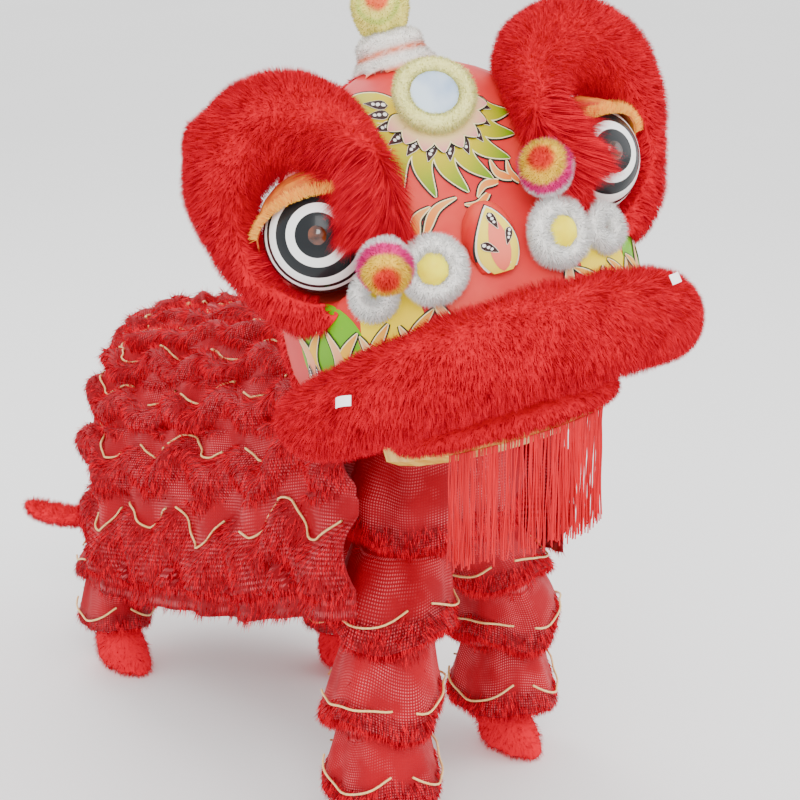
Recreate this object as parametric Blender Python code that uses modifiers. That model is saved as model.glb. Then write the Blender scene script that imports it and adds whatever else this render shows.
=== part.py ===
"""Southern lion dance costume for two performers, held in its worn form.

The origin is the middle of the grip bar inside the head, +Z is up and the lion faces -Y.
Pieces of the head are modelled upright and parented to the head_frame empty, which gives
the head its yaw, pitch and roll. The body drape, trousers and shoe covers use the world frame.
"""

import math

import bmesh
import bpy
from mathutils import Euler, Vector

# Pose of the head, degrees
HEAD_YAW = -23.8
HEAD_PITCH = -17.3
HEAD_ROLL = -12.1

# Clearances between pieces
SEAT_GAP = 0.0004
LOOSE_GAP = 0.0006
# Distances to try when merging the slivers of a cut
SLIVERS = (0.00005, 0.0001, 0.0002, 0.0004, 0.0008)

# Head shell
FLOOR_DROP = 1.10
HEAD_BOTTOM = -0.03
HEAD_HEIGHT = 0.540
HEAD_HALF_WIDTH = 0.335
HEAD_FRONT = 0.345
HEAD_BACK = 0.300
HEAD_SQUARENESS = 2.3
HEAD_SIDES = 24
SHELL_WALL = 0.005
# How far the trimming form and the hollow run below the shell's rim
SKIRT_DROP = 0.25
HOLLOW_DROP = 0.05
# Section rows: height, width, front and back as shares of the sizes above
HEAD_ROWS = (
    (0.00, 0.97, 0.98, 0.93),
    (0.18, 1.00, 1.00, 1.00),
    (0.35, 0.97, 0.91, 1.00),
    (0.50, 0.92, 0.80, 0.98),
    (0.65, 0.82, 0.72, 0.91),
    (0.80, 0.67, 0.62, 0.78),
    (0.92, 0.45, 0.43, 0.54),
    (1.00, 0.16, 0.14, 0.20),
)

# Grip bar across the head, which the jaw also hinges on
BAR_RADIUS = 0.009
BAR_SIDES = 12

# Eyes: everything is centred on one point for each eye
EYE_SPREAD = 0.246
EYE_DEPTH = 0.175
EYE_HEIGHT = 0.247
EYE_TURN = 16.0
EYE_RADIUS = 0.100
EYE_STEM_RADIUS = 0.018
EYE_PIN_RADIUS = 0.004
PUPIL_RADIUS = 0.028
PUPIL_STAND_OUT = 0.007
LID_CLEARANCE = 0.010
LID_WALL = 0.003
LID_RISE = 62.0
LID_HALF_SPAN = 24.0
LID_HUB = 0.009
SOCKET_SIDES = 14
SOCKET_CLEARANCE = 0.002
SOCKET_WALL = 0.004

# Fur round each eye: tube centre distance from the eye, and tube radius.
# Rows: angle from the inner side, then shares for reach, thickness and forward shift
BROW_REACH = 0.155
BROW_THICK = 0.085
BROW_ROWS = (
    (0, 0.66, 0.58, 1.20),
    (25, 0.72, 0.64, 1.10),
    (50, 0.96, 0.80, 0.55),
    (72, 1.24, 0.94, -0.20),
    (92, 1.38, 1.04, -0.30),
    (112, 1.42, 1.02, -0.30),
    (132, 1.36, 0.90, -0.25),
    (152, 1.20, 0.70, -0.20),
    (175, 0.98, 0.48, -0.15),
    (200, 0.92, 0.40, -0.10),
    (230, 0.92, 0.42, 0.00),
    (262, 0.95, 0.44, 0.05),
    (295, 0.92, 0.44, 0.40),
    (328, 0.80, 0.44, 0.90),
)
TUBE_SIDES = 8
TUFT = 0.06

# Ears
EAR_SPREAD = 0.372
EAR_DEPTH = -0.030
EAR_HEIGHT = 0.418
EAR_HALF_WIDTH = 0.050
EAR_HALF_DEPTH = 0.055
EAR_HALF_HEIGHT = 0.090

# Upper lip fur along the lower edge of the head
LIP_HEIGHT = -0.066
LIP_HALF_THICK = 0.090
LIP_CORNER_THICK = 0.058
LIP_INSET = 0.014
LIP_HALF_PROUD = 0.062
LIP_SWEEP = 98.0
LIP_STATIONS = 19
LIP_CREST = 0.042
LIP_END_SHARE = 0.16
LIP_END_POWER = 7
LIP_OUTWARD = 0.55

# Nose
NOSE_HALF_WIDTH = 0.049
NOSE_HALF_DEPTH = 0.055
NOSE_HALF_HEIGHT = 0.074
NOSE_DEPTH = 0.310
NOSE_HEIGHT = 0.156
NOSTRIL_SPREAD = 0.114
NOSTRIL_DEPTH = 0.335
NOSTRIL_HEIGHT = 0.141
NOSTRIL_RING = 0.042
NOSTRIL_ROLL = 0.020
NOSTRIL_CUP = 0.032
CHEEK_SPREAD = 0.212
CHEEK_DEPTH = 0.285
CHEEK_HEIGHT = 0.126
CHEEK_RING = 0.030
CHEEK_ROLL = 0.016
NOSTRIL_YAW = 16.0
CHEEK_YAW = 30.0

# Pompoms on their stalks
POMPOM_RADIUS = 0.048
STALK_RADIUS = 0.006
POMPOM_RIGHT = (-0.200, -0.372, 0.168)
POMPOM_LEFT = (0.118, -0.345, 0.250)
STALK_RIGHT = (-0.175, -0.240, 0.150)
STALK_LEFT = (0.135, -0.230, 0.215)

# Forehead mirror and its fur ring
MIRROR_THICK = 0.006
MIRROR_RING = 0.061
MIRROR_ROLL = 0.017
MIRROR_DEPTH = 0.228
MIRROR_DROP = 0.116
MIRROR_HEIGHT = HEAD_HEIGHT - MIRROR_DROP
MIRROR_TILT = 24.0

# Horn
HORN_DEPTH = -0.030
HORN_DROP = 0.056
HORN_SEAT = HEAD_HEIGHT - HORN_DROP
HORN_LEAN = 4.0
HORN_RADIUS = 0.076
HORN_STACK = 0.082
HORN_BALL = 0.056
HORN_BALL_SINK = 0.72
# Two rolls one on the other: share of the stack's height, share of its radius
HORN_ROWS = (
    (-0.60, 0.62),
    (-0.10, 0.84),
    (0.12, 1.00),
    (0.34, 1.00),
    (0.52, 0.76),
    (0.66, 0.86),
    (0.84, 0.84),
    (1.00, 0.56),
)

# Lower jaw
JAW_HALF_WIDTH = 0.210
JAW_FRONT = 0.282
JAW_BACK = 0.020
JAW_RIM_TOP = -0.148
JAW_DEPTH = 0.058
JAW_WALL = 0.004
JAW_SIDES = 16
JAW_LUG_SPREAD = 0.190
JAW_LUG_WIDTH = 0.012
JAW_LUG_RADIUS = 0.017
JAW_ARM_DEPTH = 1.5
JAW_LIP_ROLL = 0.027
JAW_LIP_SWEEP = 74.0
JAW_LIP_STATIONS = 15
JAW_LIP_ENDS = 0.35
JAW_LIP_POWER = 6
# Rows up the outside of the tray: share of the plan, share of the depth
JAW_ROWS = (
    (0.62, 0.00),
    (0.90, 0.18),
    (1.00, 0.42),
    (1.00, 1.00),
)

# Beard of strings
BEARD_LENGTH = 0.215
BEARD_TAPE = 0.016
BEARD_THICK = 0.004
BEARD_STRIPS = 13
BEARD_SWEEP = 44.0

# Body drape: plan and arch
DRAPE_CENTRE = 0.110
DRAPE_HALF_WIDTH = 0.285
DRAPE_SPINE_END = 1.080
DRAPE_RUMP = 0.245
DRAPE_FRONT_TOP = 0.140
DRAPE_FRONT_HEM = 0.130
DRAPE_WALL = 0.003
DRAPE_TOP = 0.950
DRAPE_HEM = 0.240
DRAPE_SQUARENESS = 3.1
DRAPE_TIERS = 6
DRAPE_SIDE_COLUMNS = 13
DRAPE_RUMP_COLUMNS = 6
FRONT_EDGE_SLOPE = 2.2
OUT_LIFT = 0.6
FLOUNCE_DEPTH = 0.024
FLOUNCE_EDGE = 0.28
SCALLOP_SHARE = 0.16
GATHER_DEPTH = 0.007
# Stations along the back: distance behind the grip bar, and shares of top, hem and half width
DRAPE_COLUMNS = ("along", "top", "hem", "width")
DRAPE_ROWS = (
    (0.10, 1.20, 2.20, 1.00),
    (0.30, 1.20, 1.95, 1.02),
    (0.50, 1.10, 1.60, 1.00),
    (0.85, 0.99, 1.20, 1.00),
    (1.00, 0.95, 1.02, 1.00),
    (1.16, 0.90, 1.00, 1.00),
)

# Tail
TAIL_HALF_WIDTH = 0.046
TAIL_HALF_THICK = 0.020
TAIL_ROOT = (0.000, 1.230, -0.690)
TAIL_TIP = (-0.130, 1.560, -0.800)
TAIL_SAG = 0.050
TAIL_STATIONS = 12
TAIL_ROUND_FROM = 0.75
TAIL_BLUNT = 0.05

# Trousers and feet: positions across and along the body
FRONT_FEET = (("right", -0.080, 0.150), ("left", 0.370, 0.300))
REAR_FEET = (("right", -0.100, 1.180), ("left", 0.320, 0.840))
LEG_WALL = 0.003
LEG_SIDES = 10
FRONT_LEG_RADIUS = 0.122
REAR_LEG_RADIUS = 0.090
CUFF_HEIGHT = 0.105
LEG_GATHER = 0.045
# Rows up a leg: share of the way to the hip, share of the leg radius
LEG_ROWS = (
    (0.07, 0.98),
    (0.34, 0.68),
    (0.40, 1.00),
    (0.68, 0.72),
    (0.74, 1.04),
    (1.00, 0.80),
)
FRONT_HIP = (0.125, 0.240)
FRONT_WAIST_HEIGHT = 0.830
FRONT_CROTCH_HEIGHT = 0.600
REAR_HIP = (0.110, 1.020)
REAR_WAIST_HEIGHT = 0.740
REAR_CROTCH_HEIGHT = 0.500
FRONT_HIP_HALF_WIDTH = 0.205
REAR_HIP_HALF_WIDTH = 0.180
HIP_HALF_DEPTH = 0.135
HIP_SPREAD = 0.085
# Share of a leg's height where it starts to lean in towards the hip
LEG_LEAN_FROM = 0.45
LEG_LEAN_POWER = 1.5
LEG_DROOP = 0.012
LEG_TOP_INWARD = 0.8
LEG_TOP_TAPER = 0.85
HIP_SIDES = LEG_SIDES + 4
HIP_LAP = 0.020
# Rows up the hips: share of the height, share of the girth
HIP_ROWS = (
    (0.00, 0.72),
    (0.20, 0.98),
    (0.55, 1.00),
    (0.85, 0.84),
    (1.00, 0.84),
)

# Ankle bands and shoe covers
BAND_RADIUS = 0.043
BAND_WALL = 0.003
BAND_TOP = 0.150
BAND_BOTTOM = 0.075
SHOE_HALF_WIDTH = 0.064
SHOE_HALF_LENGTH = 0.104
SHOE_HEIGHT = 0.105
SHOE_WALL = 0.010
SHOE_TOE = 0.036
SHOE_SIDES = 8
SHOE_TUFT = 0.6 * TUFT
SHOE_TOP_TAPER = 0.25
CUT_PAST = 0.010
# Rows up a shoe cover: share of the height, share of the plan
SHOE_ROWS = (
    (0.0, 0.92),
    (0.3, 1.00),
    (0.7, 0.94),
    (1.0, 0.68),
)

RED_FUR = (0.62, 0.01, 0.015)
PAINT_RED = (0.72, 0.09, 0.06)
WHITE_FUR = (0.86, 0.83, 0.78)
PALE_YELLOW = (0.88, 0.78, 0.32)
GOLD = (0.80, 0.50, 0.08)
MESH_RED = (0.45, 0.01, 0.015)


for old in list(bpy.data.objects):
    bpy.data.objects.remove(old)

parts = bpy.data.collections.new("lion_dance_costume")
cutters = bpy.data.collections.new("cutters")
bpy.context.scene.collection.children.link(parts)
bpy.context.scene.collection.children.link(cutters)

head_frame = bpy.data.objects.new("head_frame", None)
head_frame.rotation_mode = "YXZ"
head_frame.rotation_euler = (
    math.radians(HEAD_PITCH),
    math.radians(HEAD_ROLL),
    math.radians(HEAD_YAW),
)
parts.objects.link(head_frame)
head_turn = head_frame.rotation_euler.to_matrix()


def finish_look(name, colour, roughness, metallic=0.0):
    material = bpy.data.materials.new(name)
    material.use_nodes = True
    shader = material.node_tree.nodes["Principled BSDF"]
    shader.inputs["Base Color"].default_value = (*colour, 1.0)
    shader.inputs["Roughness"].default_value = roughness
    shader.inputs["Metallic"].default_value = metallic
    return material


def add_object(name, bm, material=None, in_head=True):
    """Turn a bmesh into a part, or into a hidden cutter if it has no material."""
    bmesh.ops.recalc_face_normals(bm, faces=bm.faces)
    mesh = bpy.data.meshes.new(name)
    bm.to_mesh(mesh)
    bm.free()
    piece = bpy.data.objects.new(name, mesh)
    if in_head:
        piece.parent = head_frame
    if material is None:
        cutters.objects.link(piece)
        piece.hide_render = True
        piece.display_type = "WIRE"
    else:
        parts.objects.link(piece)
        mesh.materials.append(material)
        mesh.shade_smooth()
        mesh.set_sharp_from_angle(angle=math.radians(50))
    return piece


def loft(rings, closed_loop=False):
    """Skin rings of equal count, capped at both ends unless the rings close on themselves."""
    bm = bmesh.new()
    rows = [[bm.verts.new(point) for point in ring] for ring in rings]
    pairs = list(zip(rows, rows[1:]))
    if closed_loop:
        pairs.append((rows[-1], rows[0]))
    for low, high in pairs:
        for i in range(len(low)):
            j = (i + 1) % len(low)
            bm.faces.new((low[i], low[j], high[j], high[i]))
    if not closed_loop:
        bm.faces.new(list(reversed(rows[0])))
        bm.faces.new(rows[-1])
    bmesh.ops.triangulate(bm, faces=bm.faces, quad_method="FIXED")
    return bm


def body_span(verts):
    """Diagonal of the box round some vertices."""
    return sum((max(v.co[k] for v in verts) - min(v.co[k] for v in verts)) ** 2 for k in range(3))


def merge_slivers(bm):
    """Merge the slivers left by a cut, by the least distance that keeps the body closed."""
    for distance in SLIVERS:
        trial = bm.copy()
        bmesh.ops.remove_doubles(trial, verts=trial.verts, dist=distance)
        bmesh.ops.dissolve_degenerate(trial, edges=trial.edges, dist=distance)
        bmesh.ops.triangulate(trial, faces=trial.faces)
        if all(len(edge.link_faces) == 2 for edge in trial.edges):
            bm.free()
            return trial
        trial.free()
    return bm


def settle(piece, largest_only=False):
    """Apply a piece's modifiers, and drop the offcuts if only the largest body is wanted."""
    bpy.context.view_layer.update()
    graph = bpy.context.evaluated_depsgraph_get()
    mesh = bpy.data.meshes.new_from_object(piece.evaluated_get(graph))
    piece.modifiers.clear()
    piece.data = mesh
    bm = bmesh.new()
    bm.from_mesh(mesh)
    bm = merge_slivers(bm)
    if largest_only:
        unseen = set(bm.verts)
        bodies = []
        while unseen:
            body = {unseen.pop()}
            front = list(body)
            while front:
                for edge in front.pop().link_edges:
                    for vert in edge.verts:
                        if vert in unseen:
                            unseen.discard(vert)
                            body.add(vert)
                            front.append(vert)
            bodies.append(body)
        bodies.sort(key=body_span)
        for body in bodies[:-1]:
            bmesh.ops.delete(bm, geom=list(body), context="VERTS")
    bm.to_mesh(mesh)
    bm.free()
    return piece


def boolean(piece, other, operation="DIFFERENCE"):
    cut = piece.modifiers.new(operation.lower(), "BOOLEAN")
    cut.operation = operation
    cut.solver = "EXACT"
    cut.use_self = True
    cut.object = other


def grown(source, distance):
    """A cutter: the evaluated piece with its surface moved out by a clearance."""
    bpy.context.view_layer.update()
    graph = bpy.context.evaluated_depsgraph_get()
    mesh = bpy.data.meshes.new_from_object(source.evaluated_get(graph))
    bm = bmesh.new()
    bm.from_mesh(mesh)
    bm.normal_update()
    moves = [v.normal * distance * min(v.calc_shell_factor(), 2.0) for v in bm.verts]
    for vert, move in zip(bm.verts, moves):
        vert.co += move
    cutter = add_object(source.name + "_clearance", bm, in_head=source.parent is not None)
    return cutter


def fit(piece, *carriers, gap=SEAT_GAP, largest_only=True):
    """Trim a piece against what carries it, leaving a seating gap."""
    for carrier in carriers:
        boolean(piece, grown(carrier, gap))
    return settle(piece, largest_only)


def rounded(value, power):
    return math.copysign(abs(value) ** power, value)


def head_ring(height, width, front, back, inset=0.0):
    ring = []
    power = 2.0 / HEAD_SQUARENESS
    for i in range(HEAD_SIDES):
        angle = 2 * math.pi * i / HEAD_SIDES
        across = rounded(math.sin(angle), power) * (HEAD_HALF_WIDTH * width - inset)
        depth = HEAD_FRONT * front if math.cos(angle) > 0 else HEAD_BACK * back
        along = -rounded(math.cos(angle), power) * (depth - inset)
        ring.append((across, along, height))
    return ring


def head_rings(inset=0.0, drop=0.0):
    rings = []
    if drop:
        rings.append(head_ring(HEAD_BOTTOM - drop, *HEAD_ROWS[0][1:], inset))
    for height, width, front, back in HEAD_ROWS:
        level = HEAD_BOTTOM + HEAD_HEIGHT * height
        if height == 1.0:
            level -= inset
        rings.append(head_ring(level, width, front, back, inset))
    return rings


def ball(radius, centre=(0, 0, 0), scale=(1, 1, 1), turn=None, segments=12, tuft=0.0):
    """A round body, with tufts raised on every other vertex for fur."""
    bm = bmesh.new()
    rings = segments // 2 + 1
    bmesh.ops.create_uvsphere(bm, u_segments=segments, v_segments=rings, radius=radius)
    for vert in bm.verts:
        if tuft:
            step = round(math.atan2(vert.co.y, vert.co.x) / (2 * math.pi / segments))
            row = round(math.acos(max(-1.0, min(1.0, vert.co.z / radius))) / (math.pi / rings))
            vert.co *= 1 + tuft * (1 if (step + row) % 2 else -1)
        vert.co = Vector([vert.co[k] * scale[k] for k in range(3)])
    if turn:
        bmesh.ops.rotate(bm, verts=bm.verts, matrix=turn)
    bmesh.ops.translate(bm, verts=bm.verts, vec=centre)
    return bm


def fur_ring(major, minor, centre, turn, around=12, sides=6):
    """A furry roll bent into a ring that faces -Y before it is turned."""
    rings = []
    for i in range(around):
        angle = 2 * math.pi * i / around
        out = Vector((math.cos(angle), 0, math.sin(angle)))
        ring = []
        for k in range(sides):
            swing = 2 * math.pi * k / sides
            size = minor * (1 + TUFT * (1 if (i + k) % 2 else -1))
            point = out * (major + size * math.cos(swing)) + Vector((0, size * math.sin(swing), 0))
            ring.append(turn @ point + Vector(centre))
        rings.append(ring)
    return loft(rings, closed_loop=True)


def rod(start, end, radius, sides=8):
    bm = bmesh.new()
    start, end = Vector(start), Vector(end)
    bmesh.ops.create_cone(
        bm,
        cap_ends=True,
        segments=sides,
        radius1=radius,
        radius2=radius,
        depth=(end - start).length,
    )
    turn = (end - start).to_track_quat("Z", "Y").to_matrix()
    bmesh.ops.rotate(bm, verts=bm.verts, matrix=turn)
    bmesh.ops.translate(bm, verts=bm.verts, vec=(start + end) / 2)
    return bm


def turned(tilt=0.0, yaw=0.0):
    return Euler((math.radians(tilt), 0, math.radians(yaw))).to_matrix()


# Looks
red_fur = finish_look("red_fur", RED_FUR, 0.9)
white_fur = finish_look("white_fur", WHITE_FUR, 0.9)
yellow_fur = finish_look("yellow_fur", PALE_YELLOW, 0.9)
painted_shell = finish_look("painted_shell", PAINT_RED, 0.4)
yellow_paint = finish_look("yellow_paint", PALE_YELLOW, 0.4)
gold_paint = finish_look("gold_paint", GOLD, 0.35, 0.4)
eye_paint = finish_look("eye_paint", (0.02, 0.02, 0.02), 0.15)
amber_glass = finish_look("amber_glass", (0.30, 0.10, 0.03), 0.05)
mirror_glass = finish_look("mirror_glass", (0.45, 0.60, 0.80), 0.05, 1.0)
rattan = finish_look("rattan", (0.55, 0.36, 0.16), 0.6)
red_mesh = finish_look("red_mesh", MESH_RED, 0.6)
white_cloth = finish_look("white_cloth", WHITE_FUR, 0.9)
red_string = finish_look("red_string", (0.60, 0.02, 0.02), 0.8)


# Head shell: outer form, less the inner form, with a socket for each eye
def eye_centre(side):
    return Vector((side * EYE_SPREAD, -EYE_DEPTH, EYE_HEIGHT))


def eye_turn(side):
    return turned(yaw=side * EYE_TURN)


head_form = add_object("head_form", loft(head_rings()))
head_skirt = add_object("head_skirt", loft(head_rings(drop=SKIRT_DROP)))
inner_form = add_object("inner_form", loft(head_rings(inset=SHELL_WALL, drop=HOLLOW_DROP)))
lid_inner = EYE_RADIUS + LID_CLEARANCE
lid_outer = lid_inner + LID_WALL
socket_radius = (lid_outer + SOCKET_CLEARANCE) / math.cos(math.pi / SOCKET_SIDES) ** 2
socket_cutters = {}
for side in (-1, 1):
    bowl = ball(socket_radius + SOCKET_WALL, eye_centre(side), turn=eye_turn(side), segments=SOCKET_SIDES)
    boolean(inner_form, add_object(f"socket_bowl_{side}", bowl))
    hollow = ball(socket_radius, eye_centre(side), turn=eye_turn(side), segments=SOCKET_SIDES)
    socket_cutters[side] = add_object(f"socket_hollow_{side}", hollow)
settle(inner_form)
head_shell = add_object("head_shell", loft(head_rings()), painted_shell)
boolean(head_shell, inner_form)
for side in (-1, 1):
    boolean(head_shell, socket_cutters[side])
settle(head_shell, largest_only=True)

bar_reach = HEAD_HALF_WIDTH + SHELL_WALL
bar = rod((-bar_reach, 0, 0), (bar_reach, 0, 0), BAR_RADIUS, BAR_SIDES)
grip_bar = fit(add_object("grip_bar", bar, rattan), head_shell)


# Eyes, pupils and eyelids, all round the same centre
def add_lid(side):
    """A strip of a sphere from pole to pole, wide enough at the poles to cover the pins."""
    turn = eye_turn(side)
    axis = turn @ Vector((1, 0, 0))
    rise = math.radians(LID_RISE)
    middle = turn @ Vector((0, -math.cos(rise), math.sin(rise)))
    across = axis.cross(middle)
    steps = 12
    rings = []
    for i in range(-steps // 2, steps // 2 + 1):
        swing = math.radians(90) * i / (steps // 2)
        spine = axis * math.sin(swing) + middle * math.cos(swing)
        lune = max(math.cos(swing), 0) * math.tan(math.radians(LID_HALF_SPAN))
        spread = math.atan(max(lune, LID_HUB / lid_inner))
        ring = []
        for radius, shares in ((lid_inner, (-1, 0, 1)), (lid_outer, (1, 0, -1))):
            for share in shares:
                tilt = spread * share
                ring.append((spine * math.cos(tilt) + across * math.sin(tilt)) * radius
                            + eye_centre(side))
        rings.append(ring)
    name = "eyelid_right" if side < 0 else "eyelid_left"
    return add_object(name, loft(rings), gold_paint)


def add_eye(side):
    label = "right" if side < 0 else "left"
    centre = eye_centre(side)
    turn = eye_turn(side)
    forward = turn @ Vector((0, -1, 0))
    axis = turn @ Vector((1, 0, 0))
    eye_ball = ball(EYE_RADIUS, centre, turn=turn @ turned(tilt=90))
    eye = add_object("eye_" + label, eye_ball, eye_paint)
    stem = rod(centre, centre - forward * (socket_radius + SOCKET_WALL / 2), EYE_STEM_RADIUS)
    boolean(eye, add_object("eye_stem_" + label, stem), "UNION")
    pin_reach = lid_inner - LOOSE_GAP
    pins = rod(centre - axis * pin_reach, centre + axis * pin_reach, EYE_PIN_RADIUS, 6)
    boolean(eye, add_object("eye_pins_" + label, pins), "UNION")
    at = centre + forward * (EYE_RADIUS + PUPIL_STAND_OUT - PUPIL_RADIUS)
    pupil = add_object("pupil_" + label, ball(PUPIL_RADIUS, at, segments=10), amber_glass)
    fit(eye, pupil, head_shell)


for side in (-1, 1):
    add_eye(side)
    add_lid(side)


# Upper lip: a thick fur roll round the front of the mouth
def lip_station(angle, height):
    power = 2.0 / HEAD_SQUARENESS
    width = HEAD_HALF_WIDTH - LIP_INSET
    front = HEAD_FRONT - LIP_INSET / 2
    centre = Vector((rounded(math.sin(angle), power) * width,
                     -rounded(math.cos(angle), power) * front, height))
    out = Vector((math.sin(angle) / width, -math.cos(angle) / front, 0)).normalized()
    return centre, out


def add_lip():
    rings = []
    for i in range(LIP_STATIONS):
        share = 2 * i / (LIP_STATIONS - 1) - 1
        angle = math.radians(LIP_SWEEP) * share
        swell = (1 - abs(share) ** LIP_END_POWER) ** 0.5
        size = LIP_END_SHARE + (1 - LIP_END_SHARE) * swell
        height = LIP_HEIGHT + LIP_CREST * math.cos(angle) ** 2
        fullness = LIP_CORNER_THICK + (LIP_HALF_THICK - LIP_CORNER_THICK) * max(math.cos(angle), 0.0)
        centre, out = lip_station(angle, height)
        thick, proud = fullness * size, LIP_HALF_PROUD * size
        ring = []
        for k in range(TUBE_SIDES + 1):
            swing = 2 * math.pi * k / (TUBE_SIDES + 1)
            lock = 1 + TUFT * (1 if (i + k) % 2 else -1)
            ring.append(centre + out * (proud * (LIP_OUTWARD + lock * math.cos(swing)))
                        + Vector((0, 0, thick * lock * math.sin(swing))))
        rings.append(ring)
    return add_object("upper_lip_fur", loft(rings), red_fur)


fit(add_lip(), head_skirt)


# Brow fur: a ring round the eye, thin below and a thick crescent above
def add_brow(side):
    label = "right" if side < 0 else "left"
    turn = eye_turn(side)
    rings = []
    for i, (angle, reach, thick, forward) in enumerate(BROW_ROWS):
        swing = math.radians(angle)
        out = turn @ Vector((-side * math.cos(swing), 0, math.sin(swing)))
        front = turn @ Vector((0, -1, 0))
        size = BROW_THICK * thick
        centre = eye_centre(side) + out * (BROW_REACH * reach) + front * (BROW_THICK * forward)
        ring = []
        for k in range(TUBE_SIDES):
            bend = 2 * math.pi * k / TUBE_SIDES
            lock = 1 + TUFT * (1 if (i + k) % 2 else -1)
            ring.append(centre + (out * math.cos(bend) + front * math.sin(bend)) * size * lock)
        rings.append(ring)
    brow = add_object("brow_fur_" + label, loft(rings, closed_loop=True), red_fur)
    boolean(brow, socket_cutters[side])
    return fit(brow, head_form)


brows = {side: add_brow(side) for side in (-1, 1)}

for side, label in ((-1, "right"), (1, "left")):
    ear_ball = ball(
        1.0,
        (side * EAR_SPREAD, EAR_DEPTH, EAR_HEIGHT),
        scale=(EAR_HALF_WIDTH, EAR_HALF_DEPTH, EAR_HALF_HEIGHT),
        segments=10,
        tuft=TUFT,
    )
    fit(add_object("ear_" + label, ear_ball, red_fur), head_form, brows[side])


# Nose, nostrils and cheek rolls
nose_ball = ball(
    1.0,
    (0, -NOSE_DEPTH, NOSE_HEIGHT),
    scale=(NOSE_HALF_WIDTH, NOSE_HALF_DEPTH, NOSE_HALF_HEIGHT),
    segments=12,
)
nose = fit(add_object("nose", nose_ball, painted_shell), head_form)
nostril_furs = {}
cheek_rolls = {}
for side, label in ((-1, "right"), (1, "left")):
    facing = turned(yaw=side * NOSTRIL_YAW)
    at = Vector((side * NOSTRIL_SPREAD, -NOSTRIL_DEPTH, NOSTRIL_HEIGHT))
    roll = add_object("nostril_fur_" + label, fur_ring(NOSTRIL_RING, NOSTRIL_ROLL, at, facing), white_fur)
    nostril_furs[side] = fit(roll, head_form)
    cup = add_object("nostril_" + label, ball(NOSTRIL_CUP, at, segments=10), yellow_paint)
    fit(cup, head_form, nostril_furs[side])
    at = Vector((side * CHEEK_SPREAD, -CHEEK_DEPTH, CHEEK_HEIGHT))
    facing = turned(yaw=side * CHEEK_YAW)
    roll = add_object("cheek_roll_" + label, fur_ring(CHEEK_RING, CHEEK_ROLL, at, facing, 10), white_fur)
    cheek_rolls[side] = fit(roll, head_form, nostril_furs[side], brows[side])

# Pompoms: a ball of fur fused to the stalk that carries it
for label, side, at, foot in (
    ("right", -1, POMPOM_RIGHT, STALK_RIGHT),
    ("left", 1, POMPOM_LEFT, STALK_LEFT),
):
    pompom = add_object("pompom_" + label, ball(POMPOM_RADIUS, at, segments=10, tuft=TUFT), red_fur)
    stalk = add_object("stalk_" + label, rod(foot, at, STALK_RADIUS, 8))
    boolean(pompom, stalk, "UNION")
    settle(pompom)
    fit(pompom, head_form, cheek_rolls[side], nostril_furs[side], brows[side], nose)

# Forehead mirror in its fur ring
mirror_turn = Euler((math.radians(-MIRROR_TILT), 0, 0)).to_matrix()
mirror_at = Vector((0, -MIRROR_DEPTH, MIRROR_HEIGHT))
mirror_roll = fur_ring(MIRROR_RING, MIRROR_ROLL, mirror_at, mirror_turn)
mirror_ring = fit(add_object("mirror_fur_ring", mirror_roll, yellow_fur), head_form, *brows.values())
mirror_face = mirror_turn @ Vector((0, -1, 0))
mirror_disc = rod(
    mirror_at - mirror_face * NOSE_HALF_DEPTH,
    mirror_at + mirror_face * MIRROR_THICK,
    MIRROR_RING - MIRROR_ROLL * (1 + TUFT) - LOOSE_GAP,
    16,
)
fit(add_object("forehead_mirror", mirror_disc, mirror_glass), head_form)

# Horn: two fur rolls on a core, with a fur ball on top
horn_turn = Euler((math.radians(HORN_LEAN), 0, 0)).to_matrix()
horn_at = Vector((0, HORN_DEPTH, HORN_SEAT))
horn_up = horn_turn @ Vector((0, 0, 1))
horn_rings = []
for row, (level, share) in enumerate(HORN_ROWS):
    ring = []
    for k in range(12):
        swing = 2 * math.pi * k / 12
        lock = 1 + TUFT * (1 if (row + k) % 2 else -1)
        size = HORN_RADIUS * share * lock
        ring.append(horn_turn @ Vector((size * math.cos(swing), size * math.sin(swing), HORN_STACK * level))
                    + horn_at)
    horn_rings.append(ring)
horn_base = add_object("horn_base_fur", loft(horn_rings), white_fur)
fit(horn_base, head_form)
horn_top = horn_at + horn_up * (HORN_STACK + HORN_BALL * HORN_BALL_SINK)
fit(add_object("horn_ball", ball(HORN_BALL, horn_top, segments=10, tuft=TUFT), yellow_fur), horn_base)


# Lower jaw: an open tray hung on the grip bar by two lugs
def jaw_outline(width, front, back, height):
    ring = []
    for i in range(JAW_SIDES):
        angle = 2 * math.pi * i / JAW_SIDES
        depth = front if math.cos(angle) > 0 else back
        ring.append((width * math.sin(angle), -depth * math.cos(angle), height))
    return ring


def jaw_rings(inset=0.0):
    """Rings up the tray, or up its hollow when they are set in by the wall."""
    rings = []
    for share, level in JAW_ROWS:
        height = JAW_RIM_TOP - JAW_DEPTH * (1 - level) + inset
        rings.append(jaw_outline(
            JAW_HALF_WIDTH * share - inset, JAW_FRONT * share - inset, JAW_BACK * share - inset, height
        ))
    return rings


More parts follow.
